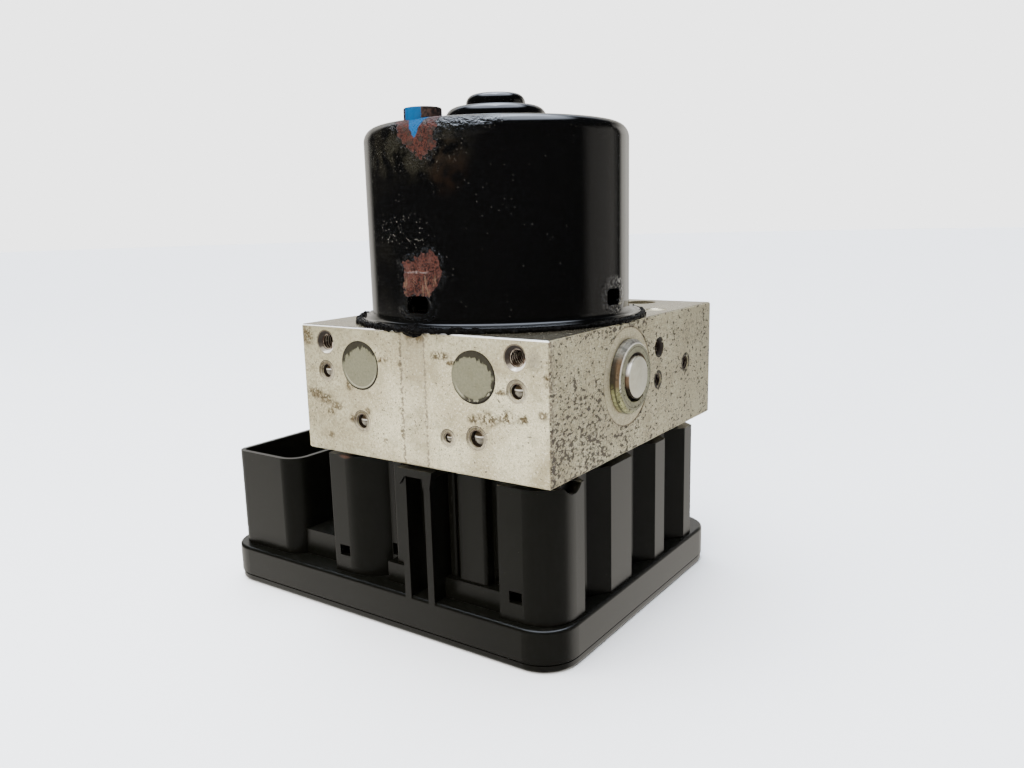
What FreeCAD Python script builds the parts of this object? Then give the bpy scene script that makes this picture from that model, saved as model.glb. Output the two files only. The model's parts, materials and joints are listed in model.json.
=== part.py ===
import FreeCAD, Part
import math
import os

# Brake pressure module of a road vehicle: an electric pump motor on an aluminium valve block,
# which stands on the electronic control unit.
# The origin lies on the base plane, on the motor's axis. +Z runs up through the motor, the block's
# front with the two accumulator caps faces -Y, and +X points to the pump plug beside it.
# Sizes are in millimetres.

# Heights of the stack, from the base plane up
cover_thickness = 2.6
flange_height = 10.5
tower_height = 40.3
seal_height = 1.8
block_height = 40.5
can_height = 59.8

# Plan of the control unit's flange, as distances from the motor's axis
flange_left = 94.0
flange_reach_right = 6.4
flange_front = 45.7
flange_back = 66.0
flange_radius = 12.0
flange_edge_round = 1.0
parting_break = 0.35
plastic_wall = 2.0
flange_wall = 2.6

# Plan of the tower that holds the solenoids
tower_left = 40.5
rib_overhang = 0.1
tower_front = 36.0
tower_back = 53.0
chamber_radius = 3.0
rib_depth_right = 4.8
rib_depth_left = 3.5
rib_front_run = 6.6
rib_back_run = 4.6
rib_core_inset = 0.3
side_ribs = [(-11.2, 2.4), (19.6, 26.8), (43.3, 49.2)]
left_pillar_left = 40.5
left_pillar_face_end = 33.2
left_pillar_front = 42.6
left_pillar_round = 15.5
corner_pillar_left = 27.4
corner_pillar_front = 43.1
corner_pillar_round = 11.0
corner_pillar_back = 27.4
corner_pillar_root = 3.4
pillar_edge = 0.6
pilasters = [(-16.0, -11.5, 3.0), (5.6, 8.4, 2.5), (9.5, 20.5, 3.5)]
bay_ledge_front = 40.3
bay_ledge_height = 6.5
window_width = 4.4
window_height = 3.6
window_rise = 5.7
left_window_x = -35.55
right_window_x = 33.0
bay_slot_places = [-18.2, 23.2]
bay_slot_side = 4.0
bay_slot_rise = 0.6
rim_notch_radius = 4.4
rim_notch_drop = 2.4
rim_notch_y = -32.7

# Ribs and hoop of the catch at the front
catch_rib_width = 2.4
catch_left = 6.8
catch_right = 4.9
catch_height = 38.9
catch_hoop_height = 2.4
catch_hoop_thickness = 2.2
catch_hoop_proud = 0.6
catch_wing_drop = 2.8
catch_wing_reach = 1.3
catch_wing_lean = 0.4
catch_back_wall = 39.0
catch_void_height = 18.0

# Connector socket and the low deck beside it
socket_left = 89.0
socket_right = 59.0
socket_front = 41.7
socket_back = 32.0
socket_height = 34.5
socket_wall = 1.6
socket_floor_height = 5.9
socket_radius = 3.5
socket_round_corner = 7.0
deck_front = 37.6
deck_back = 50.0
deck_height = 8.9
pin_side = 1.0
pin_height = 17.0
pin_rows = 12
pin_columns = 3
pin_pitch_along = 4.0
pin_pitch_across = 5.0
pin_start = 9.0
blade_width = 4.8
blade_thickness = 1.0
blade_start = 1.6
blade_pitch = 6.0
slip_clearance = 0.05

# Circuit board and what is on it
board_thickness = 1.6
board_headroom = 2.9
board_gap = 1.2
board_post_radius = 2.4
board_post_inset = 4.0
board_post_side_y = 7.0
board_hole_clearance = 0.6
cover_edge_round = 1.0
lip_height = 1.6
lip_width = 1.4
capacitor_radius = 5.0
capacitor_height = 9.6
capacitor_rows = [8.0, 22.0]
choke_y = -12.0
choke_side = 9.5
choke_height = 8.0
chip_side = 13.0
chip_height = 1.6

# Long screws that hold the control unit to the block
front_screws_y = -34.5
back_screws_y = 47.5
front_left_screw_inset = 7.5
front_right_screw_inset = 4.0
back_left_screw_inset = 4.0
back_right_screw_inset = 5.0
screw_radius = 2.4
screw_bite = 11.0
screw_head_radius = 4.3
screw_head_height = 4.0
screw_socket_radius = 2.3
screw_socket_depth = 2.4
screw_seat_rise = 10.4
screw_tube_wall = 1.8
screw_clearance = 0.3
seal_inset = 0.3

# Solenoid coils over the valve domes
coil_columns = [-23.5, 0.0, 23.5]
coil_rows = [-23.2, -2.2, 18.8, 39.8]
coil_radius = 10.0
coil_height = 36.0
coil_yoke = 3.0
coil_waist = 0.7
coil_pin_offset = 3.8
coil_pin_side = 0.8
coil_slot_width = 5.0
dome_radius = 3.1
dome_length = 35.0
dome_edge = 1.0
dome_clearance = 0.3
valve_radius = 6.0
valve_depth = 11.0
valve_tip_radius = 3.0
valve_taper = 2.0

# Aluminium block
rim_land = 0.8
block_front = 44.8
block_back = 65.2
edge_break = 0.5
cap_offset = 21.7
cap_height = 28.8
cap_radius = 7.6
cap_thickness = 2.4
accumulator_radius = 6.4
accumulator_depth = 31.0
running_clearance = 0.05
accumulator_piston_length = 9.0
accumulator_piston_wall = 1.4
accumulator_piston_floor = 3.0
accumulator_piston_edge = 0.8
accumulator_spring_play = 0.45
accumulator_spring_wire = 1.2
accumulator_spring_turns = 5
spring_gap = 0.1
m6_drill_radius = 2.5
m6_mouth_radius = 3.55
m6_depth = 14.0
front_screw_inset = 10.7
front_screw_height = 35.2
side_screw_y = 22.3
side_screw_height = 29.8
vent_places = [(21.3, 19.3, 2.2), (43.3, 21.7, 2.5)]
vent_depth = 7.0
side_ball_inset = 10.4
side_ball_height = 26.0
side_ball_radius = 2.15
low_balls = [(-22.0, 11.2, 2.25), (22.3, 11.2, 2.45), (11.9, 10.1, 1.45)]
ball_recess_share = 0.25
stake_inner = 0.25
stake_outer = 0.95
stake_depth = 0.2
milled_strip_left = 5.0
milled_strip_right = 4.2
milled_strip_depth = 0.08
wheel_port_offsets = [-34.5, -11.5, 11.5, 34.5]
wheel_port_height = 21.6
wheel_port_radius = 4.5
master_port_offset = 24.0
master_port_y = 54.5
master_port_radius = 5.5
wheel_port_depth = 15.0
master_port_depth = 14.0
top_screw_inset = 7.2
top_screw_y = 34.5

# Pump: one eccentric on the motor's shaft works two pistons along X
pump_height = 23.8
eccentricity = 0.8
eccentric_radius = 7.0
eccentric_length = 10.0
ring_wall = 2.8
ring_length = 8.0
chamber_bore = 13.0
chamber_below_pump = 9.0
pump_bore = 10.0
pump_plug_depth = 26.7
plug_head_radius = 11.65
plug_head_height = 3.5
plug_head_round = 1.3
plug_groove_width = 0.8
plug_groove_depth = 1.5
end_disc_radius = 6.65
end_disc_length = 11.9
end_disc_recess = 0.3
end_disc_edge = 0.4
spot_face_radius = 15.25
spot_face_depth = 0.12
piston_radius = 4.0
piston_length = 15.5
piston_edge = 1.2
piston_tip_gap = 0.06
pump_spring_radius = 2.8
pump_spring_wire = 0.7
pump_spring_turns = 4

# Motor
can_radius = 41.9
can_wall = 1.8
can_shoulder = 4.5
rim_reach = 4.0
rim_thickness = 1.4
rim_edge = 0.3
rim_fillet = 2.0
bead_width = 1.1
bead_height = 1.5
bead_round = 0.8
boss_base_radius = 16.3
boss_radius = 15.9
boss_height = 6.1
boss_round = 3.9
tip_radius = 9.4
tip_height = 3.9
tip_round = 2.9
rim_slot_width = 7.6
rim_slot_rise = 4.9
rim_slot_height = 5.0
rim_slot_round = 1.4
stud_radius = 5.5
stud_height = 3.1
stud_x = -1.5
stud_inset = 7.9
stud_edge = 0.5
shaft_radius = 5.0
shaft_top_radius = 4.0
shaft_nose_length = 3.0
shaft_end_gap = 0.6
magnet_thickness = 6.3
air_gap = 0.8
rotor_headroom = 2.2
rotor_slots = 12
slot_mouth = 2.0
slot_width = 5.0
slot_depth = 10.0
tooth_tip = 3.0
slot_bar_reach = 1.0
end_turn_inset = 2.0
end_turn_width = 18.0
end_turn_gap = 0.6
end_turn_low = 4.4
end_turn_high = 5.5
magnet_count = 4
magnet_angle = 72.0
commutator_radius = 11.0
commutator_length = 11.0
commutator_rise = 1.6
commutator_slot = 0.6
commutator_slot_depth = 1.0
brush_plate_thickness = 3.0
recess_wall = 1.3
brush_wide = 6.0
brush_tall = 8.0
brush_spring_length = 5.5
brush_gap = 0.1
brush_hole_margin = 0.5
brush_box_wall = 1.2
brush_box_inset = 2.8
brush_spring_radius = 2.0
brush_spring_wire = 0.7
brush_spring_turns = 3
front_bearing_radius = 14.0
front_bearing_width = 6.6
rear_bearing_radius = 9.9
rear_bearing_width = 5.2
bearing_side_gap = 0.2
bearing_rise = 0.1
bearing_shield_recess = 0.4
shaft_clearance = 0.03
lead_x = 11.75
lead_y = 29.3
lead_radius = 3.6
lead_reach = 9.0
lead_blade_offset = 1.7
lead_blade_thickness = 1.0
lead_blade_width = 2.4
lead_window_margin = 0.8

# Depth by which joined forms reach into each other, and by which cuts run past a face
overlap = 1.0

# Levels and places that follow from the sizes above
flange_bottom = cover_thickness
flange_top = flange_bottom + flange_height
flange_ceiling = flange_top - plastic_wall
tower_top = flange_top + tower_height
block_bottom = tower_top + seal_height
block_top = block_bottom + block_height
can_top = block_top + can_height
rim_radius = can_radius + rim_reach
half_width = rim_radius + rim_land
tower_right = half_width + rib_overhang - rib_depth_right
flange_right = tower_right + flange_reach_right
screw_places = [(front_left_screw_inset - tower_left, front_screws_y),
                (tower_right - front_right_screw_inset, front_screws_y),
                (back_left_screw_inset - tower_left, back_screws_y),
                (tower_right - back_right_screw_inset, back_screws_y)]
side_ball_x = half_width - side_ball_inset
ball_places = [(side_ball_x, side_ball_height, side_ball_radius),
               (-side_ball_x, side_ball_height, side_ball_radius)] + low_balls
pump_z = block_bottom + pump_height
board_top = flange_ceiling - board_headroom
board_bottom = board_top - board_thickness
ring_bore = eccentric_radius + 2 * eccentricity + 2 * running_clearance
ring_radius = ring_bore + ring_wall
accumulator_piston_radius = accumulator_radius - running_clearance
accumulator_piston_inside = accumulator_piston_radius - accumulator_piston_wall
accumulator_spring_outside = accumulator_piston_inside - accumulator_spring_play
accumulator_spring_radius = accumulator_spring_outside - accumulator_spring_wire / 2
can_inner = can_radius - can_wall
magnet_inner = can_inner - magnet_thickness
rotor_radius = magnet_inner - air_gap
slot_end = rotor_radius - tooth_tip
slot_floor = slot_end - slot_depth
end_turn_outer = rotor_radius - end_turn_inset
end_turn_inner = end_turn_outer - end_turn_width
accumulator_z = block_bottom + cap_height
plate_bottom = accumulator_z + accumulator_radius + recess_wall
plate_top = plate_bottom + brush_plate_thickness
brush_box_top = plate_top + brush_tall + slip_clearance + brush_box_wall
brush_box_start = front_bearing_radius + brush_hole_margin
brush_box_end = magnet_inner - brush_box_inset
bearing_seat = pump_z + eccentric_length / 2 + bearing_rise
commutator_bottom = bearing_seat + front_bearing_width + commutator_rise
core_bottom = brush_box_top + end_turn_gap + end_turn_low + slip_clearance
core_top = can_top - can_wall - rotor_headroom - end_turn_high
roof = tower_top - plastic_wall

X = FreeCAD.Vector(1, 0, 0)
Y = FreeCAD.Vector(0, 1, 0)
Z = FreeCAD.Vector(0, 0, 1)


def point(x, y, z=0.0):
    return FreeCAD.Vector(x, y, z)


def cuboid(x_low, x_high, y_low, y_high, z_low, z_high):
    """Square-cornered block between two corners."""
    return Part.makeBox(x_high - x_low, y_high - y_low, z_high - z_low, point(x_low, y_low, z_low))


def upright_edges(shape):
    """Straight edges that run along Z."""
    found = []
    for edge in shape.Edges:
        first = edge.Vertexes[0].Point
        last = edge.Vertexes[-1].Point
        if abs(first.x - last.x) < 1e-6 and abs(first.y - last.y) < 1e-6:
            found.append(edge)
    return found


def level_edges(shape, z):
    """Edges that lie wholly at one height."""
    return [edge for edge in shape.Edges
            if abs(edge.BoundBox.ZMin - z) < 1e-4 and abs(edge.BoundBox.ZMax - z) < 1e-4]


def rounded(x_low, x_high, y_low, y_high, z_low, z_high, radius):
    """Block whose four upright corners are round."""
    block = cuboid(x_low, x_high, y_low, y_high, z_low, z_high)
    return block.makeFillet(radius, upright_edges(block))


def rod(place, along, radius, length):
    """Round bar that starts at a place."""
    return Part.makeCylinder(radius, length, place, along)


def drilled(place, inward, radius, depth, mouth=0.0):
    """Material that a blind hole takes away, with a countersunk mouth if one is given."""
    start = place - inward * slip_clearance
    hole = rod(start, inward, radius, depth + slip_clearance)
    if mouth > radius:
        hole = hole.fuse(Part.makeCone(mouth, radius, mouth - radius, place, inward))
        hole = hole.fuse(rod(start, inward, mouth, slip_clearance))
    return hole


def turned(profile, place, along):
    """Solid of revolution from (distance along the axis, radius) pairs."""
    side = along.cross(Z) if abs(along.z) < 0.5 else X
    corners = [place + along * run + side * radius for run, radius in profile]
    face = Part.Face(Part.makePolygon(corners + corners[:1]))
    return face.revolve(place, along, 360)


def prism(corners, z_low, z_high):
    """Upright solid over a flat outline of (x, y) corners."""
    outline = [point(x, y, z_low) for x, y in corners]
    face = Part.Face(Part.makePolygon(outline + outline[:1]))
    return face.extrude(Z * (z_high - z_low))


def around(shape, count, start=0.0):
    """Copies of a shape spread evenly about the motor's axis."""
    copies = []
    for index in range(count):
        copy = shape.copy()
        copy.rotate(point(0, 0), Z, start + index * 360.0 / count)
        copies.append(copy)
    return copies


def mirrored(shape):
    """The same shape on the other side of the YZ plane."""
    return shape.mirror(point(0, 0), X)


def coil_spring(place, along, length, mean_radius, wire_radius, turns):
    """Compression spring of round wire. Each half turn is half a torus, tilted to climb to the next."""
    climb = (length - 2 * wire_radius) / (2 * turns)
    half_turns = []
    for index in range(2 * turns):
        side = 1 if index % 2 == 0 else -1
        start = point(side * mean_radius, 0, wire_radius + index * climb)
        chord = point(-2 * side * mean_radius, 0, climb)
        section = Part.Face(Part.Wire(Part.makeCircle(wire_radius, start, Y)))
        half_turns.append(section.revolve(start + chord * 0.5, Y.cross(chord) * side, 180))
    spring = half_turns[0].multiFuse(half_turns[1:])
    spring.Placement = FreeCAD.Placement(place, FreeCAD.Rotation(Z, along)).multiply(spring.Placement)
    return spring


def coil_places():
    return [(x, y) for y in coil_rows for x in coil_columns]


def tower():
    """Outside form of the solenoid tower with its ribs, pillars and bays."""
    body = cuboid(-tower_left, tower_right, -tower_front, tower_back, flange_ceiling, tower_top)
    parts = []
    for y_low, y_high in side_ribs:
        for sign, wall, depth in ((1, tower_right, rib_depth_right), (-1, tower_left, rib_depth_left)):
            corners = [(sign * (wall - plastic_wall), y_low - rib_front_run),
                       (sign * wall, y_low - rib_front_run),
                       (sign * (wall + depth), y_low),
                       (sign * (wall + depth), y_high),
                       (sign * wall, y_high + rib_back_run),
                       (sign * (wall - plastic_wall), y_high + rib_back_run)]
            corners = [(x, min(y, tower_back)) for x, y in corners]
            parts.append(prism(corners, flange_ceiling, tower_top))
    parts.append(left_pillar(0.0, flange_ceiling, tower_top))
    parts.append(corner_pillar(0.0, flange_ceiling, tower_top))
    inner = -tower_front + plastic_wall
    for x_low, x_high, depth in pilasters:
        front = -tower_front - depth
        pilaster = cuboid(x_low, x_high, front, inner, flange_ceiling, tower_top)
        front_edges = [edge for edge in upright_edges(pilaster) if edge.BoundBox.YMin < front + 1e-4]
        parts.append(pilaster.makeFillet(depth / 3, front_edges))
    ledge_top = flange_top + bay_ledge_height
    pillar_right = left_pillar_face_end - left_pillar_round
    parts.append(cuboid(-pillar_right - overlap, -catch_left, -bay_ledge_front, inner,
                        flange_ceiling, ledge_top))
    parts.append(cuboid(catch_right, corner_pillar_left + overlap, -bay_ledge_front, inner,
                        flange_ceiling, ledge_top))
    return body.multiFuse(parts).removeSplitter()


def left_pillar(inset, z_low, z_high):
    """Pillar with a flat face, and a round flank that runs into the bay."""
    radius = left_pillar_round - inset
    centre_x = -left_pillar_face_end
    centre_y = -left_pillar_front + left_pillar_round
    left = -left_pillar_left + inset
    box = cuboid(left, centre_x, centre_y - radius, -tower_front + plastic_wall, z_low, z_high)
    corner = [edge for edge in upright_edges(box)
              if edge.BoundBox.XMax < left + 1e-4 and edge.BoundBox.YMax < centre_y - radius + 1e-4]
    box = box.makeFillet(pillar_edge, corner)
    flank = rod(point(centre_x, centre_y, z_low), Z, radius, z_high - z_low)
    reach = cuboid(centre_x, 0.0, centre_y - radius, -tower_front + plastic_wall, z_low, z_high)
    return box.fuse(flank.common(reach))


def corner_pillar(inset, z_low, z_high):
    """Pillar at the front right corner, with a large round corner."""
    right = tower_right + rib_depth_right - inset
    front = -corner_pillar_front + inset
    left = corner_pillar_left + inset
    box = cuboid(left, right, front, -corner_pillar_back - inset, z_low, z_high)
    for edge in upright_edges(box):
        if edge.BoundBox.XMin > right - 1e-4 and edge.BoundBox.YMax < front + 1e-4:
            box = box.makeFillet(corner_pillar_round - inset, [edge])
            break
    if inset:
        return box
    root_y = -corner_pillar_back + corner_pillar_root
    root = prism([(right, -corner_pillar_back), (tower_right, root_y),
                  (tower_right - plastic_wall, root_y),
                  (tower_right - plastic_wall, -corner_pillar_back)], z_low, z_high)
    return box.fuse(root)


def catch():
    """Two upright ribs with a hoop across their tops, flush with the flange's front."""
    front = -flange_front
    top = flange_top + catch_height
    inner = -tower_front + plastic_wall
    ribs = [cuboid(-catch_left, -catch_left + catch_rib_width, front, inner, flange_ceiling, top),
            cuboid(catch_right - catch_rib_width, catch_right, front, inner, flange_ceiling, top)]
    back = cuboid(-catch_left, catch_right, -catch_back_wall, inner, flange_top + catch_void_height, top)
    low = top - catch_wing_drop
    hoop_top = top + catch_hoop_height
    outline = [(-catch_left - catch_wing_reach, low), (-catch_left - catch_wing_lean, hoop_top),
               (catch_right + catch_wing_reach, hoop_top), (catch_right + catch_wing_lean, low),
               (catch_right - catch_rib_width, low), (catch_right - catch_rib_width, top),
               (-catch_left + catch_rib_width, top), (-catch_left + catch_wing_lean, low)]
    corners = [point(x, front - catch_hoop_proud, z) for x, z in outline]
    face = Part.Face(Part.makePolygon(corners + corners[:1]))
    hoop = face.extrude(Y * (catch_hoop_proud + catch_hoop_thickness))
    return ribs + [back, hoop]


def pin_places():
    """Contact pins as (x, y, width along X, width along Y)."""
    middle = -(socket_left + socket_right) / 2
    start = -socket_front + pin_start
    places = []
    for column in range(pin_columns):
        for row in range(pin_rows):
            x = middle + (column - (pin_columns - 1) / 2) * pin_pitch_across
            places.append((x, start + row * pin_pitch_along, pin_side, pin_side))
    blade_y = start + pin_rows * pin_pitch_along + blade_start
    for sign in (-1, 1):
        for y in (blade_y, blade_y + blade_pitch):
            places.append((middle + sign * pin_pitch_across, y, blade_width, blade_thickness))
    return places


def pins(extra):
    """Straight contact pins from the board up into the socket, widened by a clearance."""
    top = flange_top + pin_height
    solids = []
    for x, y, wide, deep in pin_places():
        wide = wide / 2 + extra
        deep = deep / 2 + extra
        solids.append(cuboid(x - wide, x + wide, y - deep, y + deep, board_top, top))
    return solids


def ecu_housing():
    """One moulding: flange, solenoid tower, catch, deck and connector socket."""
    flange = rounded(-flange_left, flange_right, -flange_front, flange_back,
                     flange_bottom, flange_top, flange_radius)
    flange = flange.makeFillet(flange_edge_round, level_edges(flange, flange_top))
    flange = flange.makeChamfer(parting_break, level_edges(flange, flange_bottom))
    socket = socket_body(0.0, flange_ceiling, flange_top + socket_height)
    deck = cuboid(-socket_right - overlap, -tower_left + overlap, -deck_front, deck_back,
                  flange_ceiling, flange_top + deck_height)
    body = flange.multiFuse([tower(), socket, deck] + catch()).removeSplitter()

    cavity = rounded(-flange_left + flange_wall, flange_right - flange_wall,
                     -flange_front + flange_wall, flange_back - flange_wall,
                     flange_bottom - slip_clearance, flange_ceiling, flange_radius - flange_wall)
    socket_floor = flange_top + socket_floor_height
    mouth = socket_body(socket_wall, socket_floor, flange_top + socket_height + slip_clearance)
    under_socket = socket_body(socket_wall, flange_ceiling - slip_clearance, socket_floor - plastic_wall)
    under_deck = cuboid(-socket_right + plastic_wall, -tower_left - plastic_wall,
                        -deck_front + plastic_wall, deck_back - plastic_wall,
                        flange_ceiling - slip_clearance, flange_top + deck_height - plastic_wall)
    chamber = rounded(-tower_left + plastic_wall, tower_right - plastic_wall,
                      -tower_front + plastic_wall, tower_back - plastic_wall,
                      flange_top, tower_top + slip_clearance, chamber_radius)
    body = body.cut([cavity, mouth, under_socket, under_deck, chamber] + cores() + openings_in_walls())
    tubes = [rod(point(x, y, flange_bottom), Z, screw_head_radius + screw_clearance + screw_tube_wall,
                 flange_ceiling - flange_bottom) for x, y in screw_places]
    tubes += [rod(point(x, y, flange_ceiling), Z, screw_radius + screw_clearance + screw_tube_wall,
                  tower_top - flange_ceiling) for x, y in screw_places]
    posts = [rod(point(x, y, board_top), Z, board_post_radius, flange_ceiling - board_top)
             for x, y in board_posts()]
    body = body.multiFuse(tubes + posts)
    bores = []
    for x, y in screw_places:
        seat = flange_bottom + screw_seat_rise
        bores.append(rod(point(x, y, flange_bottom - overlap), Z, screw_head_radius + screw_clearance,
                         screw_seat_rise + overlap))
        bores.append(rod(point(x, y, seat), Z, screw_radius + screw_clearance,
                         tower_top - seat + overlap))
    return body.cut(bores + pins(slip_clearance)).removeSplitter()


def socket_body(inset, z_low, z_high):
    """Block of the connector socket's outline; its front right corner is rounder than the rest."""
    body = cuboid(-socket_left + inset, -socket_right - inset, -socket_front + inset,
                  socket_back - inset, z_low, z_high)
    for round_corner, radius in ((True, socket_round_corner), (False, socket_radius)):
        edges = []
        for edge in upright_edges(body):
            at_front_right = (edge.BoundBox.XMin > -socket_right - inset - 1e-4
                              and edge.BoundBox.YMax < -socket_front + inset + 1e-4)
            straight_corner = (abs(edge.BoundBox.XMin + socket_right + inset) < 1e-4
                               or abs(edge.BoundBox.XMin + socket_left - inset) < 1e-4)
            at_end = (abs(edge.BoundBox.YMin + socket_front - inset) < 1e-4
                      or abs(edge.BoundBox.YMin - socket_back + inset) < 1e-4)
            if straight_corner and at_end and at_front_right == round_corner:
                edges.append(edge)
        body = body.makeFillet(radius - inset, edges)
    return body


def cores():
    """Hollows behind the pillars and side ribs, each under a roof, and windows down to the board."""
    low = flange_ceiling - slip_clearance
    hollows = [left_pillar(plastic_wall, low, roof), corner_pillar(plastic_wall, low, roof)]
    for y_low, y_high in side_ribs:
        hollows.append(cuboid(tower_right - 2 * plastic_wall, tower_right + rib_depth_right - plastic_wall,
                              y_low + rib_core_inset, y_high - rib_core_inset, low, roof))
    high = flange_top + slip_clearance
    half_long = coil_pin_offset + coil_pin_side / 2 + dome_clearance
    half_wide = coil_slot_width / 2
    for x, y in coil_places():
        hollows.append(cuboid(x - half_long, x + half_long, y - half_wide, y + half_wide, low, high))
    half_long = lead_blade_offset + lead_blade_thickness / 2 + lead_window_margin
    half_wide = lead_blade_width / 2 + lead_window_margin
    hollows.append(cuboid(lead_x - half_long, lead_x + half_long, lead_y - half_wide, lead_y + half_wide,
                          low, high))
    return hollows


def openings_in_walls():
    """Square windows at the pillars' feet, the void under the catch and the notch in the rim."""
    low = flange_top + window_rise
    high = low + window_height
    half = window_width / 2
    cuts = []
    for middle, front in ((left_window_x, left_pillar_front), (right_window_x, corner_pillar_front)):
        cuts.append(cuboid(middle - half, middle + half, -front - overlap, -front + plastic_wall + overlap,
                           low, high))
    half = bay_slot_side / 2
    low = flange_top + bay_ledge_height + bay_slot_rise
    through = -tower_front + plastic_wall + overlap
    for middle in bay_slot_places:
        cuts.append(cuboid(middle - half, middle + half, -tower_front - overlap, through,
                           low, low + bay_slot_side))
    cuts.append(cuboid(-catch_left + catch_rib_width, catch_right - catch_rib_width,
                       -tower_front - overlap, through, flange_top, flange_top + catch_void_height))
    outer_face = tower_right + rib_depth_right
    cuts.append(rod(point(outer_face - plastic_wall - overlap, rim_notch_y,
                          tower_top + rim_notch_radius - rim_notch_drop), X,
                    rim_notch_radius, plastic_wall + 2 * overlap))
    return cuts


def board_posts():
    """Places of the moulded posts that the circuit board bears on."""
    inset = flange_wall + board_gap + board_post_inset
    left = -flange_left + inset
    middle = -(socket_right + tower_left) / 2
    right = flange_right - inset
    front = -flange_front + inset
    back = flange_back - inset
    return [(left, socket_back + board_post_inset), (left + board_post_inset, back), (middle, front),
            (middle, back), (right, board_post_side_y), (0.0, back), (0.0, front)]


def ecu_cover():
    """Bottom cover with a locating lip and four holes for the screwdriver."""
    plate = rounded(-flange_left + parting_break, flange_right - parting_break,
                    -flange_front + parting_break, flange_back - parting_break,
                    0.0, cover_thickness, flange_radius - parting_break)
    plate = plate.makeFillet(cover_edge_round, level_edges(plate, 0.0))
    plate = plate.makeChamfer(parting_break, level_edges(plate, cover_thickness))
    inset = flange_wall + 2 * slip_clearance
    lip = rounded(-flange_left + inset, flange_right - inset, -flange_front + inset, flange_back - inset,
                  cover_thickness - slip_clearance, cover_thickness + lip_height, flange_radius - inset)
    inside = inset + lip_width
    hollow = rounded(-flange_left + inside, flange_right - inside, -flange_front + inside,
                     flange_back - inside, cover_thickness, cover_thickness + lip_height + overlap,
                     flange_radius - inside)
    holes = []
    tube = screw_head_radius + screw_clearance + screw_tube_wall + slip_clearance
    for x, y in screw_places:
        holes.append(rod(point(x, y, -overlap), Z, screw_head_radius + screw_clearance,
                         cover_thickness + 2 * overlap))
        holes.append(rod(point(x, y, cover_thickness), Z, tube, lip_height + overlap))
    return plate.fuse(lip.cut(hollow)).cut(holes).removeSplitter()


def ecu_seal():
    """Rubber ring between the tower's rim and the block, with an eyelet round each long screw."""
    outside, inside = [rounded(-tower_left + inset, tower_right - inset, -tower_front + inset,
                               tower_back - inset, tower_top, block_bottom,
                               chamber_radius + plastic_wall - inset)
                       for inset in (seal_inset, plastic_wall - seal_inset)]
    hole_radius = screw_radius + screw_clearance
    eyelets = []
    holes = []
    for x, y in screw_places:
        foot = point(x, y, tower_top)
        eyelets.append(rod(foot, Z, hole_radius + screw_tube_wall - seal_inset, seal_height))
        holes.append(rod(foot - Z * overlap, Z, hole_radius, seal_height + 2 * overlap))
    return outside.cut(inside).multiFuse(eyelets).cut(holes).removeSplitter()


def circuit_board():
    """Board under the coils and the socket, with clearance holes for the screw tubes."""
    inset = flange_wall + board_gap
    board = rounded(-flange_left + inset, flange_right - inset, -flange_front + inset,
                    flange_back - inset, board_bottom, board_top, flange_radius - inset)
    tube = screw_head_radius + screw_clearance + screw_tube_wall + board_hole_clearance
    holes = [rod(point(x, y, board_bottom - overlap), Z, tube, board_thickness + 2 * overlap)
             for x, y in screw_places]
    return board.cut(holes)


def board_components():
    """Capacitors and a choke under the deck, and flat chips between the coil rows."""
    middle = -(socket_right + tower_left) / 2
    solids = [rod(point(middle, y, board_top), Z, capacitor_radius, capacitor_height)
              for y in capacitor_rows]
    half = choke_side / 2
    solids.append(cuboid(middle - half, middle + half, choke_y - half, choke_y + half,
                         board_top, board_top + choke_height))
    half = chip_side / 2
    for y in (coil_rows[0] + coil_rows[1], coil_rows[2] + coil_rows[3]):
        solids.append(cuboid(-half, half, y / 2 - half, y / 2 + half, board_top, board_top + chip_height))
    return Part.makeCompound(solids)


def connector_pins():
    return Part.makeCompound(pins(0.0))


def ecu_screws():
    """Long screws with hexagon sockets, put in from below."""
    seat = flange_bottom + screw_seat_rise
    shank = block_bottom + screw_bite - seat
    solids = []
    for x, y in screw_places:
        head = rod(point(x, y, seat - screw_head_height), Z, screw_head_radius, screw_head_height)
        bolt = head.fuse(rod(point(x, y, seat), Z, screw_radius, shank))
        corners = []
        for step in range(6):
            turn = math.radians(60 * step)
            corners.append((x + screw_socket_radius * math.cos(turn),
                            y + screw_socket_radius * math.sin(turn)))
        bottom = seat - screw_head_height
        key = prism(corners, bottom - overlap, bottom + screw_socket_depth)
        solids.append(bolt.cut(key))
    return Part.makeCompound(solids)


def solenoid_coils():
    """Twelve coils in steel yokes, each with two pins down to the board."""
    solids = []
    bore = dome_radius + dome_clearance
    half = coil_pin_side / 2
    waist = coil_radius - coil_waist
    for x, y in coil_places():
        profile = [(0, bore), (0, coil_radius), (coil_yoke, coil_radius), (coil_yoke, waist),
                   (coil_height - coil_yoke, waist), (coil_height - coil_yoke, coil_radius),
                   (coil_height, coil_radius), (coil_height, bore)]
        coil = turned(profile, point(x, y, flange_top), Z)
        for pin_x in (x - coil_pin_offset, x + coil_pin_offset):
            coil = coil.fuse(cuboid(pin_x - half, pin_x + half, y - half, y + half,
                                    board_top, flange_top + overlap))
        solids.append(coil)
    return Part.makeCompound(solids)


def valves(rows):
    """Valve cartridges: a collar pressed into the block over a closed dome that reaches into a coil."""
    solids = []
    for y in rows:
        for x in coil_columns:
            collar = valve_radius - slip_clearance
            end = valve_depth - slip_clearance
            profile = [(-dome_length, 0.0), (-dome_length, dome_radius - dome_edge),
                       (-dome_length + dome_edge, dome_radius), (0.0, dome_radius), (0.0, collar),
                       (end - valve_taper, collar), (end, valve_tip_radius), (end, 0.0)]
            solids.append(turned(profile, point(x, y, block_bottom), Z))
    return Part.makeCompound(solids)


def front_point(x, height):
    return point(x, -block_front, block_bottom + height)


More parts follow.
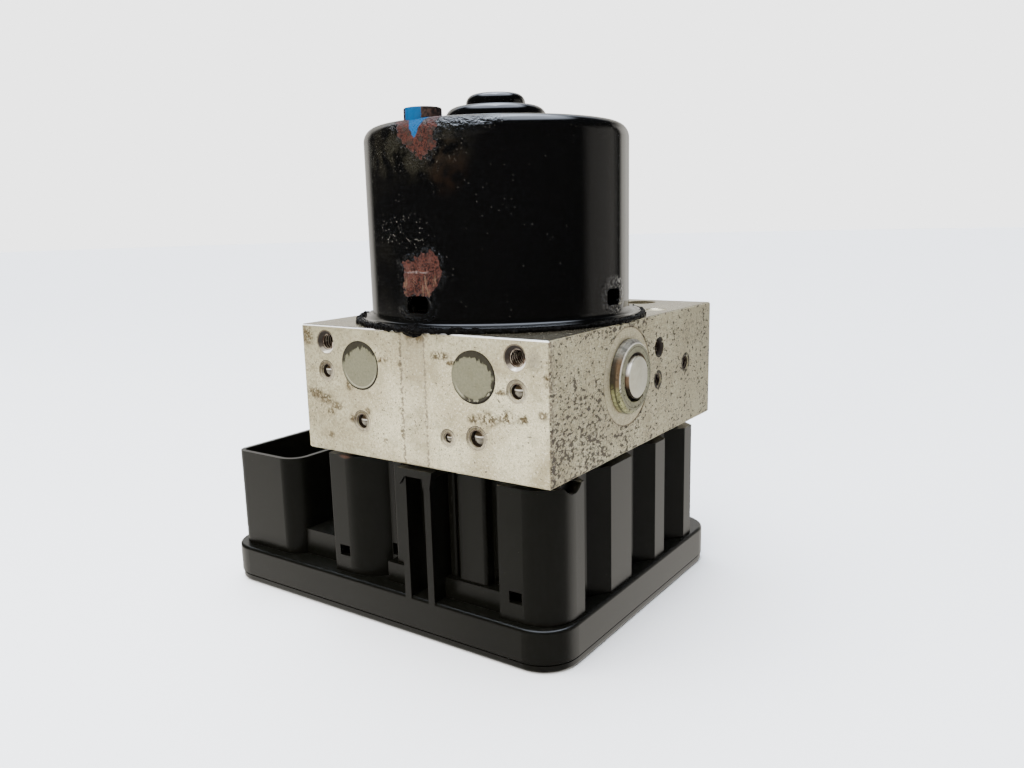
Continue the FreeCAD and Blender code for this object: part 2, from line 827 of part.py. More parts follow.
def hydraulic_block():
    """Machined block with every bore that the photograph or the pieces inside it call for."""
    block = cuboid(-half_width, half_width, -block_front, block_back, block_bottom, block_top)
    block = block.makeChamfer(edge_break, block.Edges)
    cuts = []

    top = point(0, 0, block_top)
    cuts.append(drilled(top, -Z, magnet_inner + slip_clearance, block_top - plate_bottom))
    cuts.append(drilled(top, -Z, front_bearing_radius + slip_clearance, block_top - bearing_seat))
    cuts.append(drilled(top, -Z, chamber_bore, block_top - pump_z + chamber_below_pump))
    cuts.append(rod(point(lead_x, lead_y, block_bottom - overlap), Z, lead_radius + slip_clearance,
                    plate_top - block_bottom + overlap))

    for sign in (-1, 1):
        face = point(sign * half_width, 0, pump_z)
        inward = X * -sign
        cuts.append(drilled(face, inward, pump_bore, half_width))
        cuts.append(drilled(face, inward, spot_face_radius, spot_face_depth))
        side = point(sign * half_width, side_screw_y, block_bottom + side_screw_height)
        cuts.append(drilled(side, inward, m6_drill_radius, m6_depth, m6_mouth_radius))
        cap = front_point(sign * cap_offset, cap_height)
        cuts.append(drilled(cap, Y, cap_radius + slip_clearance, cap_thickness))
        cuts.append(drilled(cap, Y, accumulator_radius, accumulator_depth))
        screw = front_point(sign * (half_width - front_screw_inset), front_screw_height)
        cuts.append(drilled(screw, Y, m6_drill_radius, m6_depth, m6_mouth_radius))
        port = point(sign * master_port_offset, master_port_y, block_top)
        cuts.append(drilled(port, -Z, master_port_radius, master_port_depth))
        screw = point(sign * (half_width - top_screw_inset), top_screw_y, block_top)
        cuts.append(drilled(screw, -Z, m6_drill_radius, m6_depth, m6_mouth_radius))

    for y, height, radius in vent_places:
        cuts.append(drilled(point(half_width, y, block_bottom + height), -X, radius, vent_depth))
    for x in wheel_port_offsets:
        port = point(x, block_back, block_bottom + wheel_port_height)
        cuts.append(drilled(port, -Y, wheel_port_radius, wheel_port_depth))
    for x, height, radius in ball_places:
        mouth = front_point(x, height)
        cuts.append(drilled(mouth, Y, radius, 2 * radius + ball_recess(radius)))
        cuts.append(stake_ring(mouth, radius))
    for x, y in coil_places():
        cuts.append(drilled(point(x, y, block_bottom), Z, valve_radius, valve_depth))
    for x, y in screw_places:
        cuts.append(drilled(point(x, y, block_bottom), Z, screw_radius + slip_clearance,
                            screw_bite + screw_radius))
    cuts.append(cuboid(-milled_strip_left, milled_strip_right, -block_front - overlap,
                       -block_front + milled_strip_depth, block_bottom - overlap, block_top + overlap))
    return block.cut(cuts)


def stake_ring(mouth, radius):
    """Groove that the staking punch leaves round a ball plug."""
    profile = [(-slip_clearance, radius + stake_inner), (-slip_clearance, radius + stake_outer),
               (stake_depth, radius + stake_outer), (stake_depth, radius + stake_inner)]
    return turned(profile, mouth, Y)


def ball_recess(radius):
    """Depth of a ball's near side below the face."""
    return ball_recess_share * radius


def ball_plugs():
    """Steel balls pressed into the cross drillings of the front face."""
    solids = []
    for x, height, radius in ball_places:
        centre = front_point(x, height) + Y * (radius + ball_recess(radius))
        solids.append(Part.makeSphere(radius - slip_clearance / 2, centre))
    return Part.makeCompound(solids)


def accumulator_cap(sign):
    """Flat disc staked into the mouth of an accumulator bore."""
    return rod(front_point(sign * cap_offset, cap_height), Y, cap_radius, cap_thickness)


def accumulator_piston(sign):
    """Cup piston at the bottom of its bore, open towards the spring."""
    end = front_point(sign * cap_offset, cap_height) + Y * (accumulator_depth - spring_gap)
    radius = accumulator_piston_radius
    inside = accumulator_piston_inside
    edge = accumulator_piston_edge
    profile = [(0, 0), (0, radius - edge), (edge, radius), (accumulator_piston_length, radius),
               (accumulator_piston_length, inside), (accumulator_piston_floor, inside),
               (accumulator_piston_floor, 0)]
    return turned(profile, end, -Y)


def accumulator_spring(sign):
    """Spring between the piston's floor and the cap."""
    start = front_point(sign * cap_offset, cap_height) + Y * (cap_thickness + spring_gap)
    length = accumulator_depth - cap_thickness - accumulator_piston_floor - 3 * spring_gap
    return coil_spring(start, Y, length, accumulator_spring_radius, accumulator_spring_wire / 2,
                       accumulator_spring_turns)


def pump_plug():
    """Steel plug on the right: a flanged barrel round the pump piston."""
    head = plug_head_height
    bore = piston_radius + running_clearance
    disc = end_disc_radius + slip_clearance
    groove = disc + plug_groove_width
    disc_end = head - end_disc_recess - end_disc_length
    barrel = pump_bore - slip_clearance
    profile = [(-pump_plug_depth, bore), (-pump_plug_depth, barrel), (0, barrel), (0, plug_head_radius),
               (head, plug_head_radius), (head, groove), (head - plug_groove_depth, groove),
               (head - plug_groove_depth, disc), (disc_end, disc), (disc_end, bore)]
    plug = turned(profile, point(half_width, 0, pump_z), X)
    rim = [edge for edge in plug.Edges
           if abs(edge.BoundBox.XMin - half_width - head) < 1e-4
           and abs(edge.BoundBox.XMax - half_width - head) < 1e-4
           and abs(edge.BoundBox.ZMax - pump_z - plug_head_radius) < 1e-3]
    return plug.makeFillet(plug_head_round, rim)


def pump_end_disc():
    """Disc pressed into the plug's head, which closes the barrel."""
    outer = half_width + plug_head_height - end_disc_recess
    disc = rod(point(outer - end_disc_length, 0, pump_z), X, end_disc_radius, end_disc_length)
    rim = [edge for edge in disc.Edges if edge.BoundBox.XMin > outer - 1e-4]
    return disc.makeChamfer(end_disc_edge, rim)


def pump_piston():
    """Pump piston with its tip on the eccentric's ring."""
    tip = ring_radius + piston_tip_gap
    profile = [(0, 0), (0, piston_radius - piston_edge), (piston_edge, piston_radius),
               (piston_length, piston_radius), (piston_length, 0)]
    return turned(profile, point(tip, 0, pump_z), X)


def pump_spring():
    """Spring between the piston and the end disc."""
    start = ring_radius + piston_tip_gap + piston_length + spring_gap
    end = half_width + plug_head_height - end_disc_recess - end_disc_length - spring_gap
    return coil_spring(point(start, 0, pump_z), X, end - start, pump_spring_radius, pump_spring_wire / 2,
                       pump_spring_turns)


def eccentric_ring():
    """Bearing ring round the eccentric; the pistons run on its outside."""
    ring = rod(point(0, 0, pump_z - ring_length / 2), Z, ring_radius, ring_length)
    return ring.cut(rod(point(0, 0, pump_z - ring_length), Z, ring_bore, 2 * ring_length))


def rotor_shaft():
    """Motor shaft with the eccentric turned on it."""
    low = pump_z - eccentric_length / 2
    step = core_top + end_turn_high
    top = can_top + boss_height - shaft_end_gap
    shaft = rod(point(0, 0, low), Z, shaft_radius, step - low)
    nose = rod(point(0, 0, low - shaft_nose_length), Z, shaft_top_radius, shaft_nose_length)
    spindle = rod(point(0, 0, step), Z, shaft_top_radius, top - step)
    cam = rod(point(0, eccentricity, low), Z, eccentric_radius, eccentric_length)
    return shaft.multiFuse([nose, spindle, cam]).removeSplitter()


def armature_core():
    """Slotted stack of sheets."""
    core = rod(point(0, 0, core_bottom), Z, rotor_radius, core_top - core_bottom)
    low = core_bottom - overlap
    high = core_top + overlap
    mouth = cuboid(slot_floor, rotor_radius + overlap, -slot_mouth / 2, slot_mouth / 2, low, high)
    slot = cuboid(slot_floor, slot_end, -slot_width / 2, slot_width / 2, low, high)
    bore = rod(point(0, 0, low), Z, shaft_radius + shaft_clearance, high - low)
    return core.cut([bore] + around(mouth.fuse(slot), rotor_slots))


def armature_windings():
    """Copper in the slots, joined by a rounded bundle of end turns above and below."""
    gap = slip_clearance
    bar = cuboid(slot_floor + gap, slot_end - gap, -slot_width / 2 + gap, slot_width / 2 - gap,
                 core_bottom - slot_bar_reach, core_top + slot_bar_reach)
    bundles = []
    ends = ((core_bottom - gap, -Z, end_turn_low), (core_top + gap, Z, end_turn_high))
    for start, direction, height in ends:
        edge = height / 2
        profile = [(0, end_turn_inner), (0, end_turn_outer), (height - edge, end_turn_outer),
                   (height, end_turn_outer - edge), (height, end_turn_inner + edge),
                   (height - edge, end_turn_inner)]
        bundles.append(turned(profile, point(0, 0, start), direction))
    return bundles[0].multiFuse([bundles[1]] + around(bar, rotor_slots))


def commutator():
    """Ring of copper bars under the armature."""
    low = commutator_bottom
    top = low + commutator_length
    body = rod(point(0, 0, low), Z, commutator_radius, commutator_length)
    bore = rod(point(0, 0, low - overlap), Z, shaft_radius + shaft_clearance,
               commutator_length + 2 * overlap)
    cut = cuboid(commutator_radius - commutator_slot_depth, commutator_radius + overlap,
                 -commutator_slot / 2, commutator_slot / 2, low - overlap, top + overlap)
    return body.cut([bore] + around(cut, rotor_slots, 180.0 / rotor_slots))


def magnets():
    """Curved magnets inside the can."""
    half = magnet_angle / 2
    outer = can_inner - slip_clearance
    corners = [point(magnet_inner, 0, core_bottom), point(outer, 0, core_bottom),
               point(outer, 0, core_top), point(magnet_inner, 0, core_top)]
    section = Part.Face(Part.makePolygon(corners + corners[:1]))
    magnet = section.revolve(point(0, 0), Z, magnet_angle)
    return Part.makeCompound(around(magnet, magnet_count, 180.0 / magnet_count - half))


def motor_can():
    """Drawn steel can with a rolled-out rim and a stepped boss for the rear bearing."""
    body = rod(point(0, 0, block_top), Z, can_radius, can_height)
    body = body.makeFillet(can_shoulder, level_edges(body, can_top))
    rim = rod(point(0, 0, block_top), Z, rim_radius, rim_thickness)
    rim = rim.makeChamfer(rim_edge, level_edges(rim, block_top + rim_thickness))
    wall = body.fuse(rim)
    corner = min(level_edges(wall, block_top + rim_thickness), key=lambda edge: edge.BoundBox.XLength)
    wall = wall.makeFillet(rim_fillet, [corner])
    boss = Part.makeCone(boss_base_radius, boss_radius, boss_height, point(0, 0, can_top))
    boss = boss.makeFillet(boss_round, level_edges(boss, can_top + boss_height))
    tip = rod(point(0, 0, can_top + boss_height - overlap), Z, tip_radius, tip_height + overlap)
    tip = tip.makeFillet(tip_round, level_edges(tip, can_top + boss_height + tip_height))
    outside = wall.multiFuse([boss, tip])

    room = rod(point(0, 0, block_top - overlap), Z, can_inner, can_height - can_wall + overlap)
    room = room.makeFillet(can_shoulder - can_wall, level_edges(room, can_top - can_wall))
    seat_top = can_top + boss_height - can_wall
    seat = rod(point(0, 0, can_top - can_wall - overlap), Z, rear_bearing_radius + slip_clearance,
               seat_top - can_top + can_wall + overlap)
    tip_room = rod(point(0, 0, seat_top - overlap), Z, tip_radius - can_wall, tip_height + overlap)
    slot = cuboid(can_inner - overlap, can_radius + overlap, -rim_slot_width / 2, rim_slot_width / 2,
                  block_top + rim_slot_rise, block_top + rim_slot_rise + rim_slot_height)
    slot = slot.makeFillet(rim_slot_round, [edge for edge in slot.Edges if edge.BoundBox.XLength > can_wall])
    return outside.cut([room, seat, tip_room] + around(slot, 4))


def can_stud():
    """Short steel stud welded to the can's shoulder."""
    foot = point(stud_x, stud_inset - can_radius, can_top - can_wall / 2)
    stud = rod(foot, Z, stud_radius, stud_height + can_wall / 2)
    stud = stud.makeFillet(stud_edge, level_edges(stud, can_top + stud_height))
    return stud.cut(motor_can())


def sealant_bead():
    """Bead of sealant round the can's rim."""
    place = point(0, 0, block_top)
    outside = rod(place, Z, rim_radius + bead_width, bead_height)
    outside = outside.makeFillet(bead_round, level_edges(outside, block_top + bead_height))
    return outside.cut(rod(place - Z * overlap, Z, rim_radius + slip_clearance, bead_height + 2 * overlap))


def bearing(inner, outer, width, z):
    """Closed ball bearing: two rings with shallow grooves where the shields sit."""
    third = (outer - inner) / 3
    low = bearing_shield_recess
    high = width - bearing_shield_recess
    profile = [(0, inner), (0, inner + third), (low, inner + third), (low, outer - third),
               (0, outer - third), (0, outer), (width, outer), (width, outer - third),
               (high, outer - third), (high, inner + third), (width, inner + third), (width, inner)]
    return turned(profile, point(0, 0, z), Z)


def front_bearing():
    width = front_bearing_width - bearing_side_gap
    return bearing(shaft_radius + shaft_clearance, front_bearing_radius, width, bearing_seat)


def rear_bearing():
    seat = can_top + boss_height - can_wall - rear_bearing_width
    width = rear_bearing_width - bearing_side_gap
    return bearing(shaft_top_radius + shaft_clearance, rear_bearing_radius, width, seat + bearing_side_gap)


def brush_holder():
    """Plastic plate in the block's recess with two brush boxes."""
    plate = rod(point(0, 0, plate_bottom), Z, magnet_inner, brush_plate_thickness)
    low = plate_bottom - overlap
    through = brush_plate_thickness + 2 * overlap
    hole = rod(point(0, 0, low), Z, brush_box_start, through)
    wide = brush_wide / 2 + slip_clearance
    wall = brush_box_wall
    height = brush_tall + slip_clearance
    box = cuboid(brush_box_start, brush_box_end, -wide - wall, wide + wall, plate_top, brush_box_top)
    room = cuboid(commutator_radius, brush_box_end - wall, -wide, wide, plate_top, plate_top + height)
    lead = rod(point(lead_x, lead_y, low), Z, lead_radius + slip_clearance, through)
    return plate.multiFuse(around(box, 2, 90.0)).cut([hole, lead] + around(room, 2, 90.0))


def brushes():
    """Two carbon brushes on the commutator."""
    end = brush_box_end - brush_box_wall - brush_spring_length - 2 * spring_gap
    brush = cuboid(commutator_radius + brush_gap, end, -brush_wide / 2, brush_wide / 2,
                   plate_top, plate_top + brush_tall)
    return Part.makeCompound(around(brush, 2, 90.0))


def brush_springs():
    """Springs that press the brushes in."""
    start = brush_box_end - brush_box_wall - brush_spring_length - spring_gap
    spring = coil_spring(point(start, 0, plate_top + brush_tall / 2), X, brush_spring_length,
                         brush_spring_radius, brush_spring_wire / 2, brush_spring_turns)
    return Part.makeCompound(around(spring, 2, 90.0))


def motor_lead():
    """Insulated contact post from the brush holder down through the block to the control unit."""
    low = block_bottom - lead_reach
    post = rod(point(lead_x, lead_y, low), Z, lead_radius, plate_top - low)
    half_thick = lead_blade_thickness / 2
    half_wide = lead_blade_width / 2
    blades = [cuboid(x - half_thick, x + half_thick, lead_y - half_wide, lead_y + half_wide,
                     board_top, low + overlap)
              for x in (lead_x - lead_blade_offset, lead_x + lead_blade_offset)]
    return post.multiFuse(blades)


nodes = {
    "motor_can": motor_can(),
    "can_stud": can_stud(),
    "sealant_bead": sealant_bead(),
    "magnets": magnets(),
    "armature_core": armature_core(),
    "armature_windings": armature_windings(),
    "commutator": commutator(),
    "rotor_shaft": rotor_shaft(),
    "eccentric_ring": eccentric_ring(),
    "front_bearing": front_bearing(),
    "rear_bearing": rear_bearing(),
    "brush_holder": brush_holder(),
    "brushes": brushes(),
    "brush_springs": brush_springs(),
    "motor_lead": motor_lead(),
    "hydraulic_block": hydraulic_block(),
    "ball_plugs": ball_plugs(),
    "inlet_valves": valves(coil_rows[:1]),
    "outlet_valves": valves(coil_rows[1:2]),
    "isolation_valves": valves(coil_rows[2:3]),
    "priming_valves": valves(coil_rows[3:]),
    "pump_plug_right": pump_plug(),
    "pump_plug_left": mirrored(pump_plug()),
    "pump_end_disc_right": pump_end_disc(),
    "pump_end_disc_left": mirrored(pump_end_disc()),
    "pump_piston_right": pump_piston(),
    "pump_piston_left": mirrored(pump_piston()),
    "pump_spring_right": pump_spring(),
    "pump_spring_left": mirrored(pump_spring()),
    "ecu_housing": ecu_housing(),
    "ecu_cover": ecu_cover(),
    "ecu_seal": ecu_seal(),
    "ecu_screws": ecu_screws(),
    "circuit_board": circuit_board(),
    "board_components": board_components(),
    "connector_pins": connector_pins(),
    "solenoid_coils": solenoid_coils(),
}
for side, sign in (("left", -1), ("right", 1)):
    nodes["accumulator_cap_" + side] = accumulator_cap(sign)
    nodes["accumulator_piston_" + side] = accumulator_piston(sign)
    nodes["accumulator_spring_" + side] = accumulator_spring(sign)

os.makedirs("parts", exist_ok=True)
for name, shape in nodes.items():
    shape.exportStep(os.path.join("parts", name + ".step"))
    print(name, "solids", len(shape.Solids), "valid", shape.isValid(), "volume", round(shape.Volume, 1))
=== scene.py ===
import json
import math
import random

import bpy
from mathutils import Matrix, Vector


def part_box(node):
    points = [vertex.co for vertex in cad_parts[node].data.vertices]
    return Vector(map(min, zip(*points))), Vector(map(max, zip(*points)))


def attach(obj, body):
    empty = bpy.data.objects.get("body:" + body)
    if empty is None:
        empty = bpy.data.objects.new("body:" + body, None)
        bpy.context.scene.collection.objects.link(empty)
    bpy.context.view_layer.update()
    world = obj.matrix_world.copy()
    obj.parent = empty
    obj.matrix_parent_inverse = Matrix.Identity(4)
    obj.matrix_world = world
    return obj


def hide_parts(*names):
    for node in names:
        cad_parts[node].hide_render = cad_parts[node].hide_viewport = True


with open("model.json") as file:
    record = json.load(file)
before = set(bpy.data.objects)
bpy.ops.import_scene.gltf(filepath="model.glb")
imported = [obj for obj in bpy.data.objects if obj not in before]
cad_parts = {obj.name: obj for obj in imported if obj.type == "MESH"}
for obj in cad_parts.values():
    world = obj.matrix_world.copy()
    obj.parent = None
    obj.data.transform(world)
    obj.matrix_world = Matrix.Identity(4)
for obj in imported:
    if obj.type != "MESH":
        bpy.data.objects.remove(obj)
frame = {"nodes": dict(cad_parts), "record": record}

# Brake pressure module: finishes, sealant, pump plugs, threads and wear around the fixed frame.
# Lengths in this script are millimetres; MM turns them into the frame's metres.
MM = 0.001
TURN = 2 * math.pi
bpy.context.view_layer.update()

# Photograph's camera
CAMERA_PLACE = Vector((163.56, -229.68, 126.89)) * MM
CAMERA_AZIMUTH = math.radians(34.85)
CAMERA_ELEVATION = math.radians(10.94)
CAMERA_ROLL = math.radians(-1.42)
CAMERA_LENS = 30.02
SENSOR_WIDTH = 36.0

# Small tapped vents in the right face: y, z and radius
VENTS = ((21.3, 74.5, 2.2), (43.3, 76.9, 2.5))

# Holes in the front face, x, z and radius: two tapped ones, and five closed by balls
FRONT_HOLES = ((-36.0, 90.4, 2.5), (36.0, 90.4, 2.5), (-36.3, 81.2, 2.15), (36.3, 81.2, 2.15),
               (-22.0, 66.4, 2.25), (22.3, 66.4, 2.45), (11.9, 65.3, 1.45))
# All holes in the right face, the large tapped one first: y, z and radius
SIDE_HOLES = ((22.3, 85.0, 2.5),) + VENTS

# Brown stains on the front face: middle x and z, and half width and height
FRONT_STAINS = (
    (-44.0, 92.0, 3.0, 3.6), (-42.0, 73.6, 4.4, 2.2), (-37.0, 72.2, 4.0, 2.0), (-32.8, 70.4, 3.0, 1.5),
    (-35.5, 68.3, 2.2, 1.4), (-36.0, 60.6, 1.6, 1.2), (-26.2, 67.0, 1.7, 1.5), (-19.4, 70.0, 1.3, 1.2),
    (-12.3, 61.5, 1.4, 0.9), (-26.6, 77.5, 1.8, 2.0), (-13.0, 86.4, 3.0, 0.9), (-5.4, 65.0, 1.0, 2.0),
    (-5.6, 71.6, 0.8, 1.2), (-5.4, 85.6, 0.9, 0.9), (10.0, 89.2, 4.6, 1.5), (14.0, 87.4, 2.4, 0.9),
    (21.2, 72.0, 2.0, 1.6), (26.5, 72.6, 4.6, 2.4), (32.6, 73.6, 3.4, 2.2), (38.4, 73.8, 2.4, 1.6),
    (31.0, 80.6, 2.6, 0.9), (44.6, 75.6, 1.7, 1.6), (45.9, 85.0, 1.0, 2.0), (1.6, 94.4, 4.6, 2.0),
)

# Pump plugs: pairs of a radius and a height over the block's side face, from the base to the gap's floor
PLUG_PROFILE = ((11.5, 1.25), (11.3, 1.45), (10.45, 2.5), (10.1, 2.75), (7.6, 2.75), (7.6, 1.2),
                (6.0, 1.2))
PLUG_FOOT = -0.4
PLUG_STEP = 1.35
PLUG_LINE = 9.3
PLUG_GAP = 7.6
PLUG_RIM = 10.3
DISC_RADIUS = 6.55
DISC_FOOT = 0.8
SPOT_FACE_RADIUS = 15.2

# Sealant squeezed out at the front: bearing in degrees, distance from the axis, half length, half width
# and half thickness of each lump; then x and drop of the lumps that hang over the front edge
BEAD_LUMPS = (
    (-156, 47.3, 2.2, 1.1, 0.7), (-147, 46.0, 2.6, 0.7, 1.1), (-141, 46.4, 2.4, 0.8, 1.2),
    (-130, 46.8, 2.6, 0.9, 0.8), (-118, 46.6, 3.2, 0.9, 0.9), (-107, 45.7, 3.4, 1.0, 1.1),
    (-97, 45.4, 3.0, 0.9, 1.1), (-90, 45.0, 3.2, 1.0, 1.3), (-70, 46.0, 2.6, 0.9, 1.3),
    (-64, 45.8, 2.0, 0.8, 1.1), (-144, 44.6, 1.2, 0.6, 2.0), (-138, 45.0, 2.2, 0.5, 1.5))
HANGING_LUMPS = ((-2.2, 0.0), (-0.6, 0.5), (1.0, 0.7), (2.6, 0.2))
BEAD_VOXEL = 0.33
BEAD_LUMP_HEIGHT = 1.3

# Threads
THREAD_PITCH = 1.0
THREAD_STEPS = 28
FRONT_THREAD_LENGTH = 11.0
VENT_THREAD_LENGTH = 5.5

# Room round the object as its gloss mirrors it, by bearing in radians from +X: a wall at the right, a
# brighter one behind with a post before it, a pale table that is dim near the camera, a cool ceiling
# light, and a glow that grows with the height behind the object
WALL_START = 0.32
WALL_END = 3.0
WALL_LIGHT = 0.42
POST_START = 1.02
POST_END = 1.3
FAR_WALL_LIGHT = 1.35
GLOW_START = 1.5
GLOW_LIGHT = 0.26
GLOW_GROWTH = 2.78
CEILING_LIGHT = 7.0
TABLE_LIGHT = 1.0
TABLE_NEAR_LIGHT = 0.2
ROOM_LIGHT = 0.03
BACKDROP = 3.3
SUN_LIGHT = 5.5

# Faces and axes that the frame gives, in millimetres
def box_of(node):
    """Lowest and highest corner of a node's box."""
    return [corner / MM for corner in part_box(node)]


block_low, block_high = box_of("hydraulic_block")
cap_low, cap_high = box_of("accumulator_cap_right")
plug_low, plug_high = box_of("pump_plug_right")
stud_low, stud_high = box_of("can_stud")
FRONT = block_low.y
BLOCK_TOP = block_high.z
RIGHT = block_high.x
cap_x = (cap_low.x + cap_high.x) / 2
cap_z = (cap_low.z + cap_high.z) / 2
cap_radius = (cap_high.x - cap_low.x) / 2
pump_z = (plug_low.z + plug_high.z) / 2
stud_x = (stud_low.x + stud_high.x) / 2
stud_y = (stud_low.y + stud_high.y) / 2
stud_radius = (stud_high.x - stud_low.x) / 2
bead_radius = box_of("sealant_bead")[1].x
rim_radius = box_of("motor_can")[1].x


class Field:
    """A number that varies over a surface. Arithmetic on it adds Math nodes."""

    def __init__(self, nodes, socket):
        self.nodes = nodes
        self.socket = socket

    def math(self, operation, *values):
        return self.nodes.number("ShaderNodeMath", {"operation": operation}, dict(enumerate(values)))

    def __add__(self, other):
        return self.math("ADD", self, other)

    def __radd__(self, other):
        return self.math("ADD", other, self)

    def __sub__(self, other):
        return self.math("SUBTRACT", self, other)

    def __rsub__(self, other):
        return self.math("SUBTRACT", other, self)

    def __mul__(self, other):
        return self.math("MULTIPLY", self, other)

    def __rmul__(self, other):
        return self.math("MULTIPLY", other, self)

    def __truediv__(self, other):
        return self.math("DIVIDE", self, other)

    def __pow__(self, other):
        return self.math("POWER", self, other)

    def __abs__(self):
        return self.math("ABSOLUTE", self)

    def sine(self):
        return self.math("SINE", self)

    def larger(self, other):
        return self.math("MAXIMUM", self, other)

    def smaller(self, other):
        return self.math("MINIMUM", self, other)


class Nodes:
    """A node tree, with one method that adds any node."""

    def __init__(self, tree):
        self.tree = tree

    def node(self, kind, settings, inputs):
        made = self.tree.nodes.new(kind)
        for key, value in settings.items():
            setattr(made, key, value)
        for key, value in inputs.items():
            socket = made.inputs[key]
            if isinstance(value, Field):
                self.tree.links.new(value.socket, socket)
            elif isinstance(value, bpy.types.NodeSocket):
                self.tree.links.new(value, socket)
            else:
                socket.default_value = value
        return made

    def number(self, kind, settings, inputs, output=0):
        return Field(self, self.node(kind, settings, inputs).outputs[output])

    def rise(self, value, low, high):
        """0 below low, 1 above high, and smooth between; low may be the larger."""
        return self.number("ShaderNodeMapRange", {"interpolation_type": "SMOOTHSTEP"},
                           {"Value": value, "From Min": low, "From Max": high})

    def blend(self, share, low, high):
        """Colour that goes from low to high with share."""
        return self.node("ShaderNodeMix", {"data_type": "RGBA"}, {0: share, 6: low, 7: high}).outputs[2]


class Finish(Nodes):
    """A surface finish: one material that reads the piece's own place in millimetres."""

    def __init__(self, name, roughness, metallic=0.0, coat=0.0, gloss=0.5):
        self.material = bpy.data.materials.new(name)
        self.material.use_nodes = True
        super().__init__(self.material.node_tree)
        self.shader = self.tree.nodes["Principled BSDF"]
        self.shader.inputs["Roughness"].default_value = roughness
        self.shader.inputs["Metallic"].default_value = metallic
        self.shader.inputs["Coat Weight"].default_value = coat
        self.shader.inputs["Specular IOR Level"].default_value = gloss
        self.shader.inputs["Coat Roughness"].default_value = 0.06
        coordinates = self.node("ShaderNodeTexCoord", {}, {}).outputs["Object"]
        self.place = self.node("ShaderNodeVectorMath", {"operation": "SCALE"},
                               {0: coordinates, "Scale": 1 / MM}).outputs[0]
        split = self.node("ShaderNodeSeparateXYZ", {}, {0: self.place})
        self.x, self.y, self.z = [Field(self, socket) for socket in split.outputs]

    def noise(self, size, detail=3.0, stretch=(1.0, 1.0, 1.0), shift=0.0):
        """Cloudy pattern whose features are about size millimetres; stretch lengthens them."""
        vector = self.place
        if stretch != (1.0, 1.0, 1.0) or shift:
            vector = self.node("ShaderNodeMapping", {}, {
                "Vector": self.place, "Location": (shift, shift, shift),
                "Scale": tuple(1 / value for value in stretch)}).outputs[0]
        return self.number("ShaderNodeTexNoise", {},
                           {"Vector": vector, "Scale": 1 / size, "Detail": detail})

    def specks(self, size, share):
        """Round specks in cells of that size; share is the part of each cell's width that they take."""
        cells = self.number("ShaderNodeTexVoronoi", {}, {"Vector": self.place, "Scale": 1 / size})
        return self.rise(cells, share, share * 0.5)

    def front_patch(self, sides, ragged):
        """How far inside an outline in X and Z a place lies, in millimetres. Each side runs between two
        (x, z) corners, given anticlockwise as seen from the front."""
        outside = None
        for (x0, z0), (x1, z1) in zip(sides, sides[1:] + sides[:1]):
            length = math.hypot(x1 - x0, z1 - z0)
            across = ((self.x - x0) * (z1 - z0) - (self.z - z0) * (x1 - x0)) / length
            outside = across if outside is None else outside.larger(across)
        return ragged - outside

    def around(self, x0, z0, radius_x, radius_z):
        """Distance from a place on the front, as a share of an ellipse's radii."""
        return (((self.x - x0) / radius_x) ** 2 + ((self.z - z0) / radius_z) ** 2) ** 0.5

    def colour(self, value):
        self.connect("Base Color", value)

    def connect(self, name, value):
        socket = value.socket if isinstance(value, Field) else value
        self.tree.links.new(socket, self.shader.inputs[name])

    def relief(self, height, depth):
        """Bump from a height field; depth in millimetres is the height of 1."""
        bump = self.node("ShaderNodeBump", {},
                         {"Height": height, "Distance": depth * MM, "Strength": 1.0})
        self.tree.links.new(bump.outputs[0], self.shader.inputs["Normal"])


def rgb(red, green, blue):
    return (red, green, blue, 1.0)


BLUE_MARK = rgb(0.0004, 0.047, 0.132)


